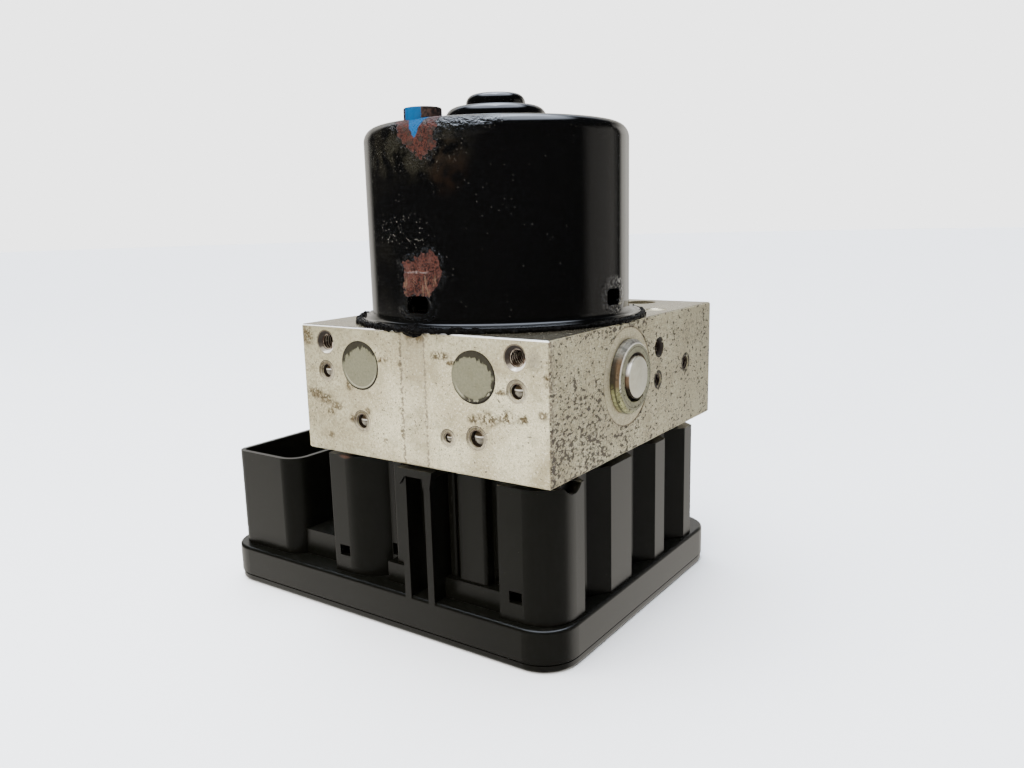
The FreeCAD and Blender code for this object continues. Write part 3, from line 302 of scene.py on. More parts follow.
def can_paint():
    """Black gloss paint with grime, two chipped patches of rust and a run of blue marking paint."""
    paint = Finish("can_paint", 0.08)
    ripple = paint.noise(2.2, 4.0)
    grain = paint.noise(0.5, 4.0)
    front = paint.rise(paint.y, -24.0, -30.0)
    wobble = (ripple - 0.5) * 4.4 + (paint.noise(0.8) - 0.5) * 2.2
    low_patch = paint.front_patch([(-4.8, 105.3), (4.2, 105.5), (8.6, 110.6), (8.4, 116.4), (5.6, 118.6),
                                   (-5.4, 115.0)], wobble)
    top_patch = paint.front_patch([(-8.4, 156.0), (-3.2, 149.4), (0.6, 145.6), (5.2, 143.8), (8.4, 148.0),
                                   (8.4, 156.0)], wobble)
    inside = low_patch.larger(top_patch)
    bare = paint.rise(inside, 0.0, 0.2) * front
    lip = paint.rise(inside, -1.7, -0.3) * front * (1 - bare)
    flakes = paint.rise(paint.noise(1.0, 5.0), 0.5, 0.54)

    rust = paint.blend(paint.rise(grain, 0.36, 0.62),
                       rgb(0.004, 0.0012, 0.0007), rgb(0.052, 0.0125, 0.0062))
    fresh = paint.rise(paint.noise(2.4, 4.0, shift=9.0), 0.5, 0.64)
    rust = paint.blend(fresh * 0.6, rust, rgb(0.056, 0.018, 0.011))
    soot = paint.rise(paint.noise(1.5, 5.0, shift=23.0), 0.5, 0.62) * paint.rise(paint.z, 122.0, 140.0)
    rust = paint.blend(soot * 0.75, rust, rgb(0.016, 0.012, 0.008))
    streak = paint.rise(paint.noise(0.7, 3.0, stretch=(1.0, 1.0, 7.0)), 0.56, 0.66)
    streak = streak * paint.rise(paint.z, 113.0, 110.0)
    rust = paint.blend(streak * 0.55, rust, rgb(0.10, 0.062, 0.034))
    scratch = paint.rise(abs(paint.z - 112.4 - (ripple - 0.5) * 1.6), 0.4, 0.1)
    scratch = scratch * paint.rise(grain, 0.4, 0.55) * paint.rise(paint.x, 5.5, 2.5)
    rust = paint.blend(scratch * 0.6, rust, rgb(0.12, 0.095, 0.085))

    around_top = paint.rise(paint.around(-2.0, 147.0, 21.0, 9.5), 1.15, 0.5) * front
    clouds = paint.rise(paint.noise(5.0, 6.0), 0.4, 0.62)
    left_side = paint.rise(paint.x, 6.0, -20.0) * front
    film_and_reflection = left_side * 0.16 * paint.rise(paint.noise(12.0, 5.0), 0.4, 0.66)
    grime = (around_top * clouds * (0.15 + grain)).larger(film_and_reflection)
    black = paint.blend(grime, rgb(0.0013, 0.0013, 0.0013), rgb(0.0120, 0.0108, 0.0068))
    brown = paint.rise(paint.around(11.0, 142.0, 7.0, 9.0), 1.1, 0.3) * front * clouds
    black = paint.blend(brown * 0.6, black, rgb(0.010, 0.0055, 0.003))

    cluster = paint.rise(paint.around(-6.0, 124.0, 15.0, 6.0), 1.2, 0.3) * front
    crowd = paint.noise(6.0, 3.0, shift=31.0)
    spread = (cluster + around_top * 0.35).smaller(1.0)
    fine = paint.specks(0.9, 0.26) * spread * paint.rise(paint.noise(1.3, 3.0), 0.46, 0.54)
    loose = paint.specks(1.5, 0.14) * paint.rise(crowd, 0.5, 0.6)
    chips = paint.specks(4.6, 0.055)
    dust = fine.larger(loose * 0.3).larger(chips * 0.25)
    black = paint.blend(dust * 0.7, black, rgb(0.13, 0.12, 0.10))

    mark = paint.front_patch([(-3.0, 156.5), (1.6, 149.2), (5.2, 156.5)], wobble * 0.3)
    blue = paint.rise(mark, 0.0, 0.3) * front
    surface = paint.blend(bare, black, rust)
    surface = paint.blend(blue * (1 - paint.rise(grain, 0.62, 0.7) * 0.6), surface, BLUE_MARK)
    paint.colour(surface)

    blistered = paint.rise(paint.around(12.0, 153.5, 14.0, 4.5), 1.1, 0.6) * front
    slot_front = paint.around(0.0, 103.1, 6.0, 4.2)
    slot_lip = paint.rise(slot_front, 1.35, 1.05) * paint.rise(slot_front, 0.75, 0.95) * front
    side_slot = (((paint.y / 5.4) ** 2 + ((paint.z - 103.8) / 4.4) ** 2) ** 0.5)
    side_lip = paint.rise(side_slot, 1.4, 1.0) * paint.rise(paint.x, 30.0, 36.0)
    torn = (slot_lip + side_lip + lip).smaller(1.0)
    paint.connect("Roughness",
                  0.06 + bare * 0.55 + grime * 0.3 + dust * 0.3 + blue * 0.35 + ripple * 0.02)
    bumps = paint.noise(1.1, 5.0)
    out = (paint.x ** 2 + paint.y ** 2) ** 0.5 - (rim_radius - 1.1)
    rolled = out * paint.rise(out, 0.0, 0.2) * paint.rise(paint.z, BLOCK_TOP + 1.6, BLOCK_TOP + 1.5)
    ragged = rolled * paint.rise(paint.x, 16.0, 6.0) * (bumps - 0.5) * 4.0
    paint.relief(bare * -0.4 + torn * flakes * 0.4 + grain * bare * 0.35 + bumps * blistered * 0.9
                 - rolled + ragged + paint.noise(3.5, 2.0) * 0.006 + grime * grain * 0.06
                 + dust * 0.06, 1.0)
    return paint.material


def block_aluminium():
    """Milled aluminium, matt and stained, with a heavily pitted right face."""
    metal = Finish("block_aluminium", 0.4, metallic=0.5)
    on_front = metal.rise(metal.y, FRONT + 0.35, FRONT + 0.2)
    on_right = metal.rise(metal.x, RIGHT - 0.35, RIGHT - 0.2)
    cloud = metal.noise(16.0, 4.0)
    grain = metal.noise(0.35, 3.0)
    base = metal.blend(metal.rise(cloud, 0.34, 0.66), rgb(0.50, 0.43, 0.265), rgb(0.74, 0.665, 0.44))
    base = metal.blend(metal.rise(grain, 0.46, 0.7) * 0.6, base, rgb(0.20, 0.165, 0.09))
    grit = metal.rise(metal.noise(0.75, 4.0, shift=63.0), 0.54, 0.68)
    base = metal.blend(grit * 0.4, base, rgb(0.20, 0.17, 0.095))
    glitter = metal.rise(metal.noise(0.7, 3.0, shift=91.0), 0.54, 0.7)
    base = metal.blend(glitter * 0.5, base, rgb(0.95, 0.89, 0.70))
    mottle = metal.rise(metal.noise(4.0, 6.0, shift=3.0), 0.5, 0.68)
    base = metal.blend(mottle * 0.4, base, rgb(0.26, 0.225, 0.13))
    soil = metal.rise(metal.noise(0.9, 5.0, shift=41.0), 0.5, 0.6)
    left_part = metal.rise(metal.x, -5.0, -40.0)
    upper_part = metal.rise(metal.z, 78.0, 96.0)
    soiled = (0.2 + left_part * 0.6 + upper_part * 0.3) * on_front + on_right * 0.8
    base = metal.blend(soil * soiled * 0.6, base, rgb(0.15, 0.12, 0.062))
    # Painted shade: the right face darker, more so towards the back, and the front face darker to the left
    # and at the top.
    shade = (0.38 + metal.rise(metal.y, 5.0, 60.0) * 0.35) * on_right
    shade = shade + (left_part * 0.45 + upper_part * 0.35) * on_front
    base = metal.blend(shade.smaller(1.0), base, rgb(0.25, 0.22, 0.13))

    lines = (metal.z * (TURN / 0.7) + metal.noise(12.0) * 2.0).sine()
    crowd = metal.noise(9.0, 3.0, shift=17.0)
    spots = metal.noise(1.2, 4.0, stretch=(1.0, 1.6, 1.0))
    dots = metal.noise(0.5, 3.0, stretch=(1.0, 1.7, 1.0), shift=77.0)
    low_front = metal.rise(metal.z, 92.0, 60.0) * metal.rise(metal.y, 32.0, -25.0)
    over_plug = metal.rise(abs(metal.z - 96.0), 4.5, 1.0) * metal.rise(abs(metal.y + 10.0), 32.0, 20.0)
    limit_right = 0.595 - (crowd - 0.5) * 0.26 - low_front * 0.075 - over_plug * 0.07
    out = (metal.y ** 2 + (metal.z - pump_z) ** 2) ** 0.5
    spot_face = metal.rise(out, SPOT_FACE_RADIUS + 0.1, SPOT_FACE_RADIUS - 0.3) * on_right
    pits_right = metal.rise(spots - limit_right, -0.015, 0.04).larger(
        metal.rise(dots - limit_right, 0.015, 0.06) * 0.8) * on_right * (1 - spot_face * 0.85)
    pits_front = metal.rise(metal.noise(0.8, 4.0) - (0.648 - (crowd - 0.5) * 0.3), 0.0, 0.03) * on_front
    pits_other = metal.rise(spots - 0.66, 0.0, 0.03) * (1 - on_front) * (1 - on_right)
    pits = (pits_right + pits_front + pits_other).smaller(1.0)

    smear = metal.noise(1.3, 5.0)
    stained = None
    for x0, z0, width, height in FRONT_STAINS:
        mark = metal.rise(metal.around(x0, z0, width, height), 1.25, 0.35)
        stained = mark if stained is None else stained.larger(mark)
    stains = stained * metal.rise(smear, 0.45, 0.56) * on_front
    freckled = metal.rise(metal.around(-40.0, 79.0, 10.0, 10.0), 1.1, 0.3).larger(stained) * on_front
    freckles = freckled * metal.rise(metal.noise(0.6, 4.0, shift=19.0), 0.52, 0.6)
    strip_edge = abs(metal.x + 5.0).smaller(abs(metal.x - 4.2))
    border = metal.rise(strip_edge, 0.9, 0.2) * metal.rise(metal.noise(0.9, 4.0), 0.44, 0.56)
    edge_line = metal.rise(abs(metal.x - 4.2), 0.35, 0.12)
    edge_line = edge_line * (0.25 + metal.rise(metal.z, 66.0, 80.0) * 0.5)
    border = border.larger(edge_line) * on_front
    strip = metal.rise(abs(metal.x + 0.4), 4.8, 4.4) * on_front
    corner = metal.rise(metal.y - FRONT, 3.4, 0.4) * on_right
    corner = corner * metal.rise(metal.noise(0.8, 5.0, shift=29.0), 0.44, 0.54)
    ring = metal.rise(abs(out - SPOT_FACE_RADIUS), 0.36, 0.12) * on_right
    stamped_stain = metal.rise(((metal.y - 48.0) / 13.0) ** 2 + ((metal.z - 87.0) / 5.0) ** 2, 1.2, 0.3)
    stamped_stain = stamped_stain * metal.rise(smear, 0.5, 0.62) * on_right
    under_bead = metal.rise(metal.around(-0.4, BLOCK_TOP, 5.5, 5.0), 1.2, 0.4) * on_front
    under_bead = under_bead * metal.rise(smear, 0.36, 0.6)
    smudge = metal.rise(metal.around(42.0, 90.0, 2.8, 3.6), 1.2, 0.2) * on_front

    rim = None
    low_side = None
    for x0, z0, radius in FRONT_HOLES:
        away = ((metal.x - x0) ** 2 + (metal.z - z0) ** 2) ** 0.5 - radius
        rim = away if rim is None else rim.smaller(away)
        tilt = (z0 - metal.z) * 0.9 + (metal.x - x0) * 0.45
        below = metal.rise(away, 1.4, 1.3) * tilt / (radius + 0.6)
        low_side = below if low_side is None else low_side + below
    near_front = metal.rise(metal.y, FRONT + 8.0, FRONT + 6.0)
    lip = metal.rise(rim, 1.05, 0.95) * metal.rise(rim, -0.1, 0.1) * near_front
    outline = metal.rise(abs(rim - 1.2), 0.28, 0.1).larger(metal.rise(abs(rim - 0.1), 0.25, 0.1))
    outline = outline * on_front
    # Painted shade inside the bores of the front and side holes.
    bore = metal.rise(rim, 0.2, 0.1) * metal.rise(metal.y, FRONT + 0.5, FRONT + 0.7)
    bore = bore * metal.rise(metal.y, FRONT + 21.0, FRONT + 19.0)
    side_rim = None
    for y0, z0, radius in SIDE_HOLES:
        away = ((metal.y - y0) ** 2 + (metal.z - z0) ** 2) ** 0.5 - radius
        side_rim = away if side_rim is None else side_rim.smaller(away)
    bore = bore.larger(metal.rise(side_rim, 0.2, 0.1) * metal.rise(metal.x, RIGHT - 0.3, RIGHT - 0.6)
                       * metal.rise(metal.x, RIGHT - 16.0, RIGHT - 15.0))

    surface = metal.blend(strip * (0.2 + upper_part * 0.25), base, rgb(0.30, 0.26, 0.17))
    surface = metal.blend(stains * 0.85, surface, rgb(0.115, 0.08, 0.036))
    surface = metal.blend(freckles * 0.6, surface, rgb(0.17, 0.14, 0.08))
    cores = stained * metal.rise(metal.noise(0.75, 4.0, shift=51.0), 0.49, 0.55) * on_front
    surface = metal.blend(cores * 0.85, surface, rgb(0.06, 0.04, 0.018))
    surface = metal.blend(stamped_stain * 0.7, surface, rgb(0.08, 0.06, 0.035))
    surface = metal.blend(border * 0.8, surface, rgb(0.06, 0.043, 0.024))
    surface = metal.blend(spot_face * 0.25, surface, rgb(0.56, 0.49, 0.34))
    surface = metal.blend(ring * 0.7, surface, rgb(0.11, 0.07, 0.03))
    # Score marks on the right face, and a little more painted shade over the whole of that face.
    scored = lines * metal.rise(metal.noise(14.0, 2.0, shift=5.0), 0.4, 0.56) * on_right
    surface = metal.blend(scored * 0.16 + 0.08 * on_right, surface, rgb(0.20, 0.17, 0.10))
    # Painted shade, in patches, on the mouths of the side holes.
    mouth = metal.rise(side_rim, 1.0, 0.8) * metal.rise(side_rim, -0.1, 0.1)
    mouth = mouth * metal.rise(metal.x, RIGHT - 1.6, RIGHT - 1.4)
    mouth = mouth * metal.rise(metal.noise(2.6, 3.0, shift=8.0), 0.3, 0.46)
    surface = metal.blend(mouth, surface, rgb(0.018, 0.012, 0.007))
    surface = metal.blend(corner * 0.8, surface, rgb(0.065, 0.038, 0.024))
    surface = metal.blend(under_bead * 0.6, surface, rgb(0.12, 0.085, 0.04))
    surface = metal.blend(smudge * 0.4, surface, rgb(0.12, 0.11, 0.10))
    core = metal.rise(pits, 0.35, 0.95)
    pit_brown = metal.blend(core, rgb(0.115, 0.086, 0.049), rgb(0.032, 0.022, 0.013))
    surface = metal.blend(pits * 0.9, surface, pit_brown)
    # Painted reflections in the countersinks and stake rings of the front holes: dark above and to the
    # left, light below, near white below in the two tapped holes, whose upper part gets painted shadow.
    tapped = metal.rise(abs(abs(metal.x) - 36.0), 4.4, 4.2) * metal.rise(metal.z, 85.0, 86.0)
    sheen = metal.blend(metal.rise(low_side, -0.6, 0.2), rgb(0.035, 0.022, 0.014), rgb(0.30, 0.26, 0.20))
    sheen = metal.blend(metal.rise(low_side, 0.6, 0.85) * tapped, sheen, rgb(0.95, 0.90, 0.80))
    surface = metal.blend(lip * (0.6 + tapped * 0.35), surface, sheen)
    shadowed = lip * tapped * metal.rise(low_side, 0.35, 0.05)
    surface = metal.blend(shadowed * 0.9, surface, rgb(0.014, 0.009, 0.006))
    # Dark lines along the edges of the holes and their rings, made heavier to the upper left by painted
    # shade.
    outlined = outline * (0.5 + metal.rise(low_side, 0.3, -0.5) * 0.45)
    surface = metal.blend(outlined, surface, rgb(0.05, 0.034, 0.022))
    # Painted shade in the bores.
    surface = metal.blend(bore, surface, rgb(0.020, 0.012, 0.007))
    on_top = metal.rise(metal.z, BLOCK_TOP - 0.2, BLOCK_TOP - 0.1)
    surface = metal.blend(on_top * 0.6, surface, rgb(0.36, 0.325, 0.25))
    # Painted highlight along the chamfer of the top front edge.
    painted_edge_highlight = metal.rise(metal.z, BLOCK_TOP - 0.46, BLOCK_TOP - 0.36)
    painted_edge_highlight = painted_edge_highlight * metal.rise(metal.y, FRONT + 0.6, FRONT + 0.4)
    metal.colour(metal.blend(painted_edge_highlight, surface, rgb(0.93, 0.90, 0.84)))

    # Real marks and the painted shade of holes and edges alike make the metal less metallic and rougher.
    marred_and_shaded = (core + border + corner + outline + bore + mouth + shadowed).smaller(1.0)
    metal.connect("Metallic", 0.5 - marred_and_shaded * 0.45 + on_top * 0.42)
    metal.connect("Roughness", 0.34 + cloud * 0.12 + marred_and_shaded * 0.3 - lip * 0.12 - on_top * 0.16)
    hatch = lines * metal.rise(metal.noise(14.0, 2.0, shift=5.0), 0.46, 0.62) * on_right
    brushing = metal.noise(0.5, 2.0, stretch=(1.0, 1.0, 14.0)) * on_front
    metal.relief(pits * -0.16 + hatch * 0.008 + brushing * 0.014 + grain * 0.014 - stains * 0.015, 1.0)
    return metal.material


def cap_metal():
    """Olive grey passivated discs, stained dark along their upper edges."""
    metal = Finish("cap_metal", 0.42, metallic=0.35)
    right_cap = metal.rise(metal.x, -0.1, 0.1)
    side = abs(metal.x) - cap_x
    signed = side * (right_cap * 2.0 - 1.0)
    up = metal.z - cap_z
    out = (side ** 2 + up ** 2) ** 0.5
    ragged = (metal.noise(1.6, 4.0) - 0.5) * 6.0
    inner = ((signed - 0.9 + right_cap * 1.8) ** 2 + (up + 2.0) ** 2) ** 0.5
    drips = (metal.noise(0.9, 3.0, stretch=(1.0, 1.0, 2.5)) - 0.5) * 3.0
    crown = metal.rise(inner + drips + ragged * 0.25, cap_radius - 0.3, cap_radius + 0.25)
    crown = crown * metal.rise(up, -0.5, 1.5)
    rim_stain = metal.rise(out, cap_radius - 1.8, cap_radius - 1.1) * right_cap
    rim_stain = rim_stain * metal.rise(metal.noise(1.3, 4.0, shift=4.0), 0.44, 0.52)
    rim_stain = rim_stain * metal.rise(side, -4.5, -2.5) * metal.rise(up, 1.0, -1.0)
    # Painted shade in the gap round each cap, thicker to one side.
    gap = metal.rise(out - (up - signed) * 0.028, cap_radius - 0.35, cap_radius - 0.2)
    # Painted highlight: a light crescent inside the lower edge of each cap.
    painted_crescent_highlight = metal.rise(abs(out - cap_radius + 0.85), 0.3, 0.1) * metal.rise(up, -1.0, -4.5)
    base = metal.blend(metal.noise(0.7, 5.0), rgb(0.100, 0.094, 0.055), rgb(0.198, 0.188, 0.122))
    mottle = metal.rise(metal.noise(2.6, 5.0, shift=7.0), 0.5, 0.66)
    base = metal.blend(mottle * 0.35, base, rgb(0.12, 0.11, 0.06))
    stained = crown.larger(rim_stain)
    surface = metal.blend(painted_crescent_highlight * 0.5, base, rgb(0.40, 0.37, 0.27))
    crust = metal.blend(metal.noise(0.6, 4.0), rgb(0.003, 0.0024, 0.0014), rgb(0.030, 0.023, 0.012))
    surface = metal.blend(stained * 0.92, surface, crust)
    dots = metal.specks(1.6, 0.14)
    surface = metal.blend(dots * 0.6, surface, rgb(0.06, 0.048, 0.025))
    metal.colour(metal.blend(gap, surface, rgb(0.012, 0.009, 0.005)))
    metal.connect("Roughness", 0.38 + stained * 0.35)
    rings = (out * (TURN / 0.55)).sine()
    metal.relief(rings * 0.003 + metal.noise(0.5) * 0.02 - stained * 0.02 - gap * 0.1, 1.0)
    return metal.material


def plug_steel():
    """Turned steel with a yellow passivation: grey above, brown at mid height, olive below, with a painted
    highlight on the rim's edge and painted shade at the foot and in the groove.
    """
    steel = Finish("plug_steel", 0.3, metallic=0.5)
    up = steel.z - pump_z
    out = (steel.y ** 2 + up ** 2) ** 0.5
    face = abs(steel.x) - RIGHT
    on_face = steel.rise(face, 2.45, 2.65) * steel.rise(out, PLUG_GAP, PLUG_GAP + 0.2)
    streak = steel.noise(1.1, 4.0, stretch=(7.0, 1.0, 1.0))
    upper_grey = steel.rise(up - steel.y * 0.25 + (streak - 0.5) * 9.0, 1.0, 6.5)
    tint = steel.blend(steel.rise(streak, 0.35, 0.65), rgb(0.16, 0.152, 0.062), rgb(0.34, 0.33, 0.155))
    tint = steel.blend(upper_grey, tint, rgb(0.215, 0.202, 0.165))
    tint = steel.blend(upper_grey * steel.rise(streak, 0.48, 0.6) * 0.8, tint, rgb(0.085, 0.08, 0.068))
    band = steel.rise(abs(up - 2.6 + (streak - 0.5) * 5.0), 6.0, 3.0) * (1 - on_face)
    brown = steel.blend(steel.rise(face, 0.9, 1.7), rgb(0.025, 0.018, 0.011), rgb(0.14, 0.085, 0.042))
    tint = steel.blend(band * 0.9, tint, brown)
    olive = steel.blend(steel.noise(2.6, 4.0), rgb(0.10, 0.096, 0.05), rgb(0.27, 0.255, 0.16))
    tint = steel.blend(on_face * 0.95, tint, olive)
    # Painted highlight along the rim's edge, bright on the upper side and dull olive below.
    edge = steel.rise(abs(out - PLUG_RIM), 0.24, 0.08) * steel.rise(face, 2.3, 2.45)
    lit = steel.rise(up - steel.y * 0.4, -1.0, 3.0)
    rim_highlight = steel.blend(lit, rgb(0.20, 0.185, 0.10), rgb(0.66, 0.62, 0.53))
    tint = steel.blend(edge * 0.85, tint, rim_highlight)
    soot = steel.rise(steel.noise(0.8, 4.0), 0.56, 0.62) * (1 - upper_grey * 0.7)
    # Painted shadow at the plug's foot against the block, a dark line on the face, and a dark line at the
    # step made heavier below by painted shade.
    foot = steel.rise(face, 0.35, 0.0)
    lines_and_step_shade = (steel.rise(abs(face - PLUG_STEP), 0.34, 0.1) * steel.rise(up, 7.0, 2.0)).larger(
        steel.rise(abs(out - PLUG_LINE), 0.2, 0.07) * on_face)
    tint = steel.blend(soot * 0.85, tint, rgb(0.045, 0.036, 0.02))
    tint = steel.blend(lines_and_step_shade.larger(foot) * 0.8, tint, rgb(0.03, 0.023, 0.013))
    # Painted shade in the groove round the disc.
    gap = steel.rise(out, PLUG_GAP, PLUG_GAP - 0.3)
    steel.colour(steel.blend(gap, tint, rgb(0.012, 0.009, 0.006)))
    steel.connect("Roughness", 0.26 + soot * 0.3 + steel.noise(3.0) * 0.12 + gap * 0.3)
    rings = (out * (TURN / 0.45)).sine() + (steel.x * (TURN / 0.6)).sine()
    steel.relief(rings * 0.012 + steel.noise(0.6) * 0.03 - soot * 0.05, 1.0)
    return steel.material


def disc_steel():
    """Pale matt end disc of the pump plug; its turned flank has a painted highlight above and brown below,
    going to painted shade at the bottom.
    """
    steel = Finish("disc_steel", 0.42, metallic=0.35)
    up = steel.z - pump_z
    out = (steel.y ** 2 + up ** 2) ** 0.5
    cloud = steel.noise(2.5, 5.0)
    base = steel.blend(cloud, rgb(0.29, 0.265, 0.19), rgb(0.47, 0.44, 0.335))
    dots = steel.specks(1.6, 0.15)
    base = steel.blend(dots * 0.55, base, rgb(0.18, 0.15, 0.09))
    edge = steel.rise(out, DISC_RADIUS - 0.5, DISC_RADIUS - 0.3)
    # Painted light on the flank: painted shade at the bottom, brown, a painted highlight above the middle,
    # then grey at the top.
    flank = steel.blend(steel.rise(up, -3.0, -0.5), rgb(0.02, 0.015, 0.009), rgb(0.13, 0.08, 0.045))
    flank = steel.blend(steel.rise(up, 0.8, 3.0), flank, rgb(0.80, 0.77, 0.70))
    flank = steel.blend(steel.rise(up, 4.2, 5.4), flank, rgb(0.22, 0.20, 0.15))
    steel.colour(steel.blend(edge, base, flank))
    steel.connect("Roughness", 0.42 - edge * 0.15)
    steel.relief(steel.noise(0.5) * 0.02 - dots * 0.02, 1.0)
    return steel.material


def ball_steel():
    """Pressed-in balls with painted reflections: silver below, coppery above, and a painted highlight line
    between.
    """
    steel = Finish("ball_steel", 0.25, metallic=0.5)
    up = None
    for x0, z0, radius in FRONT_HOLES[2:]:
        near = steel.rise(((steel.x - x0) ** 2 + (steel.z - z0) ** 2) ** 0.5, radius + 0.4, radius + 0.3)
        part = near * ((steel.z - z0) / radius)
        up = part if up is None else up + part
    # Painted reflections: coppery on the upper half of each ball, silver on the lower, with a painted
    # highlight line between.
    film_and_reflection = steel.rise(up + (steel.noise(0.8, 3.0) - 0.5) * 0.5, -0.15, 0.12)
    tint = steel.blend(film_and_reflection, rgb(0.20, 0.18, 0.145), rgb(0.05, 0.034, 0.017))
    line = steel.rise(abs(up - 0.2), 0.14, 0.04)
    steel.colour(steel.blend(line * 0.7, tint, rgb(0.85, 0.80, 0.70)))
    steel.connect("Roughness", 0.22 + film_and_reflection * 0.15)
    steel.relief(steel.noise(0.5) * 0.02, 1.0)
    return steel.material


def rusty_steel():
    """Rusted stud, half of it under blue marking paint."""
    steel = Finish("rusty_steel", 0.75, metallic=0.1)
    across = (steel.x - stud_x) * math.cos(CAMERA_AZIMUTH) + (steel.y - stud_y) * math.sin(CAMERA_AZIMUTH)
    grain = steel.noise(0.9, 6.0)
    rust = steel.blend(steel.rise(grain, 0.38, 0.62), rgb(0.008, 0.005, 0.0035), rgb(0.045, 0.024, 0.016))
    blue = steel.rise(across + (grain - 0.5) * 1.5, 0.15, -0.15)
    bare_edge = steel.rise(across, -stud_radius + 1.0, -stud_radius + 0.6)
    blue = blue * (1 - bare_edge)
    steel.colour(steel.blend(blue, rust, BLUE_MARK))
    steel.connect("Roughness", 0.8 - blue * 0.4)
    steel.relief(grain * 0.3 * (1 - blue * 0.6), 1.0)
    return steel.material


def sealant():
    """Black sealant, shiny where it was squeezed out and dull where it is dusty."""
    rubber = Finish("sealant", 0.3)
    rubber.shader.inputs["IOR"].default_value = 1.11
    dust = rubber.rise(rubber.noise(1.2, 4.0), 0.6, 0.72)
    rubber.colour(rubber.blend(dust * 0.25, rgb(0.0022, 0.0020, 0.0018), rgb(0.03, 0.025, 0.018)))
    wet = rubber.rise(rubber.noise(3.0, 3.0, shift=5.0), 0.48, 0.56)
    rubber.connect("Roughness", 0.4 - wet * 0.3 + dust * 0.1)
    rubber.relief(rubber.noise(0.8, 4.0) * 0.45, 1.0)
    return rubber.material


def control_plastic():
    """Satin black moulded plastic with a fine grain, dust on its ledges and a few scuffs."""
    plastic = Finish("control_plastic", 0.34, gloss=0.5)
    grain = plastic.noise(0.25, 2.0)
    cloud = plastic.noise(14.0, 4.0)
    base = plastic.blend(cloud, rgb(0.0018, 0.0018, 0.0012), rgb(0.0030, 0.0029, 0.0020))
    facing_up = plastic.node("ShaderNodeSeparateXYZ", {}, {
        0: plastic.node("ShaderNodeNewGeometry", {}, {}).outputs["Normal"]}).outputs["Z"]
    ledge = plastic.rise(Field(plastic, facing_up), 0.7, 0.95)
    dust = ledge * plastic.rise(plastic.noise(1.5, 5.0), 0.5, 0.72)
    base = plastic.blend(dust * 0.12, base, rgb(0.03, 0.028, 0.023))
    specks = plastic.specks(3.6, 0.045)
    base = plastic.blend(specks * 0.4, base, rgb(0.10, 0.095, 0.08))
    streaks = plastic.rise(plastic.noise(1.2, 3.0, stretch=(1.0, 1.0, 18.0)), 0.62, 0.74)
    base = plastic.blend(streaks * 0.04, base, rgb(0.02, 0.018, 0.015))
    copper = plastic.rise(plastic.around(-33.2, 53.0, 2.6, 0.8), 1.1, 0.5)
    copper = copper * plastic.rise(plastic.y, -38.0, -41.0)
    base = plastic.blend(copper * 0.6, base, rgb(0.055, 0.022, 0.012))
    plastic.colour(base)
    plastic.connect("Roughness", 0.27 + cloud * 0.02 + dust * 0.08)
    plastic.relief(grain * 0.004, 1.0)
    return plastic.material


def bright_steel():
    """Ground steel with a warm cast, for balls, pistons and shafts."""
    steel = Finish("bright_steel", 0.2, metallic=0.55)
    film_and_reflection = steel.rise(steel.noise(1.4, 4.0), 0.42, 0.6)
    steel.colour(steel.blend(film_and_reflection, rgb(0.56, 0.50, 0.43), rgb(0.36, 0.22, 0.13)))
    steel.connect("Roughness", 0.16 + film_and_reflection * 0.25)
    steel.relief(steel.noise(0.6) * 0.015, 1.0)
    return steel.material


def thread_metal():
    """Cut threads: bright steel, oily brown in patches."""
    metal = Finish("thread_metal", 0.3, metallic=0.45)
    film_and_reflection = metal.rise(metal.noise(1.6, 4.0), 0.4, 0.6)
    metal.colour(metal.blend(film_and_reflection, rgb(0.34, 0.285, 0.22), rgb(0.06, 0.035, 0.02)))
    metal.connect("Roughness", 0.24 + film_and_reflection * 0.25)
    metal.relief(metal.noise(0.4) * 0.02, 1.0)
    return metal.material


def inner_finish(name, low, high, roughness, metallic):
    """Plain finish of an inner piece: two tones in a fine grain."""
    finish = Finish(name, roughness, metallic=metallic)
    grain = finish.noise(1.2, 5.0)
    finish.colour(finish.blend(finish.rise(grain, 0.35, 0.65), rgb(*low), rgb(*high)))
    finish.connect("Roughness", roughness - 0.05 + grain * 0.15)
    finish.relief(finish.noise(0.6) * 0.03, 1.0)
    return finish.material


# Pieces

def alone():
    bpy.ops.object.select_all(action="DESELECT")


def settle(piece, name):
    """Bakes the object's place into its mesh, and names it."""
    alone()
    piece.select_set(True)
    bpy.context.view_layer.objects.active = piece
    bpy.ops.object.transform_apply(location=True, rotation=True, scale=True)
    piece.name = name
    piece.data.name = name
    return piece


def apply_modifier(piece, name, kind, settings):
    modifier = piece.modifiers.new(name, kind)
    for key, value in settings.items():
        setattr(modifier, key, value)
    alone()
    piece.select_set(True)
    bpy.context.view_layer.objects.active = piece
    bpy.ops.object.modifier_apply(modifier=modifier.name)


def outward(piece):
    """Merges doubles and turns every face outwards."""
    alone()
    piece.select_set(True)
    bpy.context.view_layer.objects.active = piece
    bpy.ops.object.mode_set(mode="EDIT")
    bpy.ops.mesh.select_all(action="SELECT")
    bpy.ops.mesh.remove_doubles(threshold=1e-6)
    bpy.ops.mesh.normals_make_consistent(inside=False)
    bpy.ops.object.mode_set(mode="OBJECT")


def dress(piece, material, body="module"):
    piece.data.materials.clear()
    piece.data.materials.append(material)
    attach(piece, body)


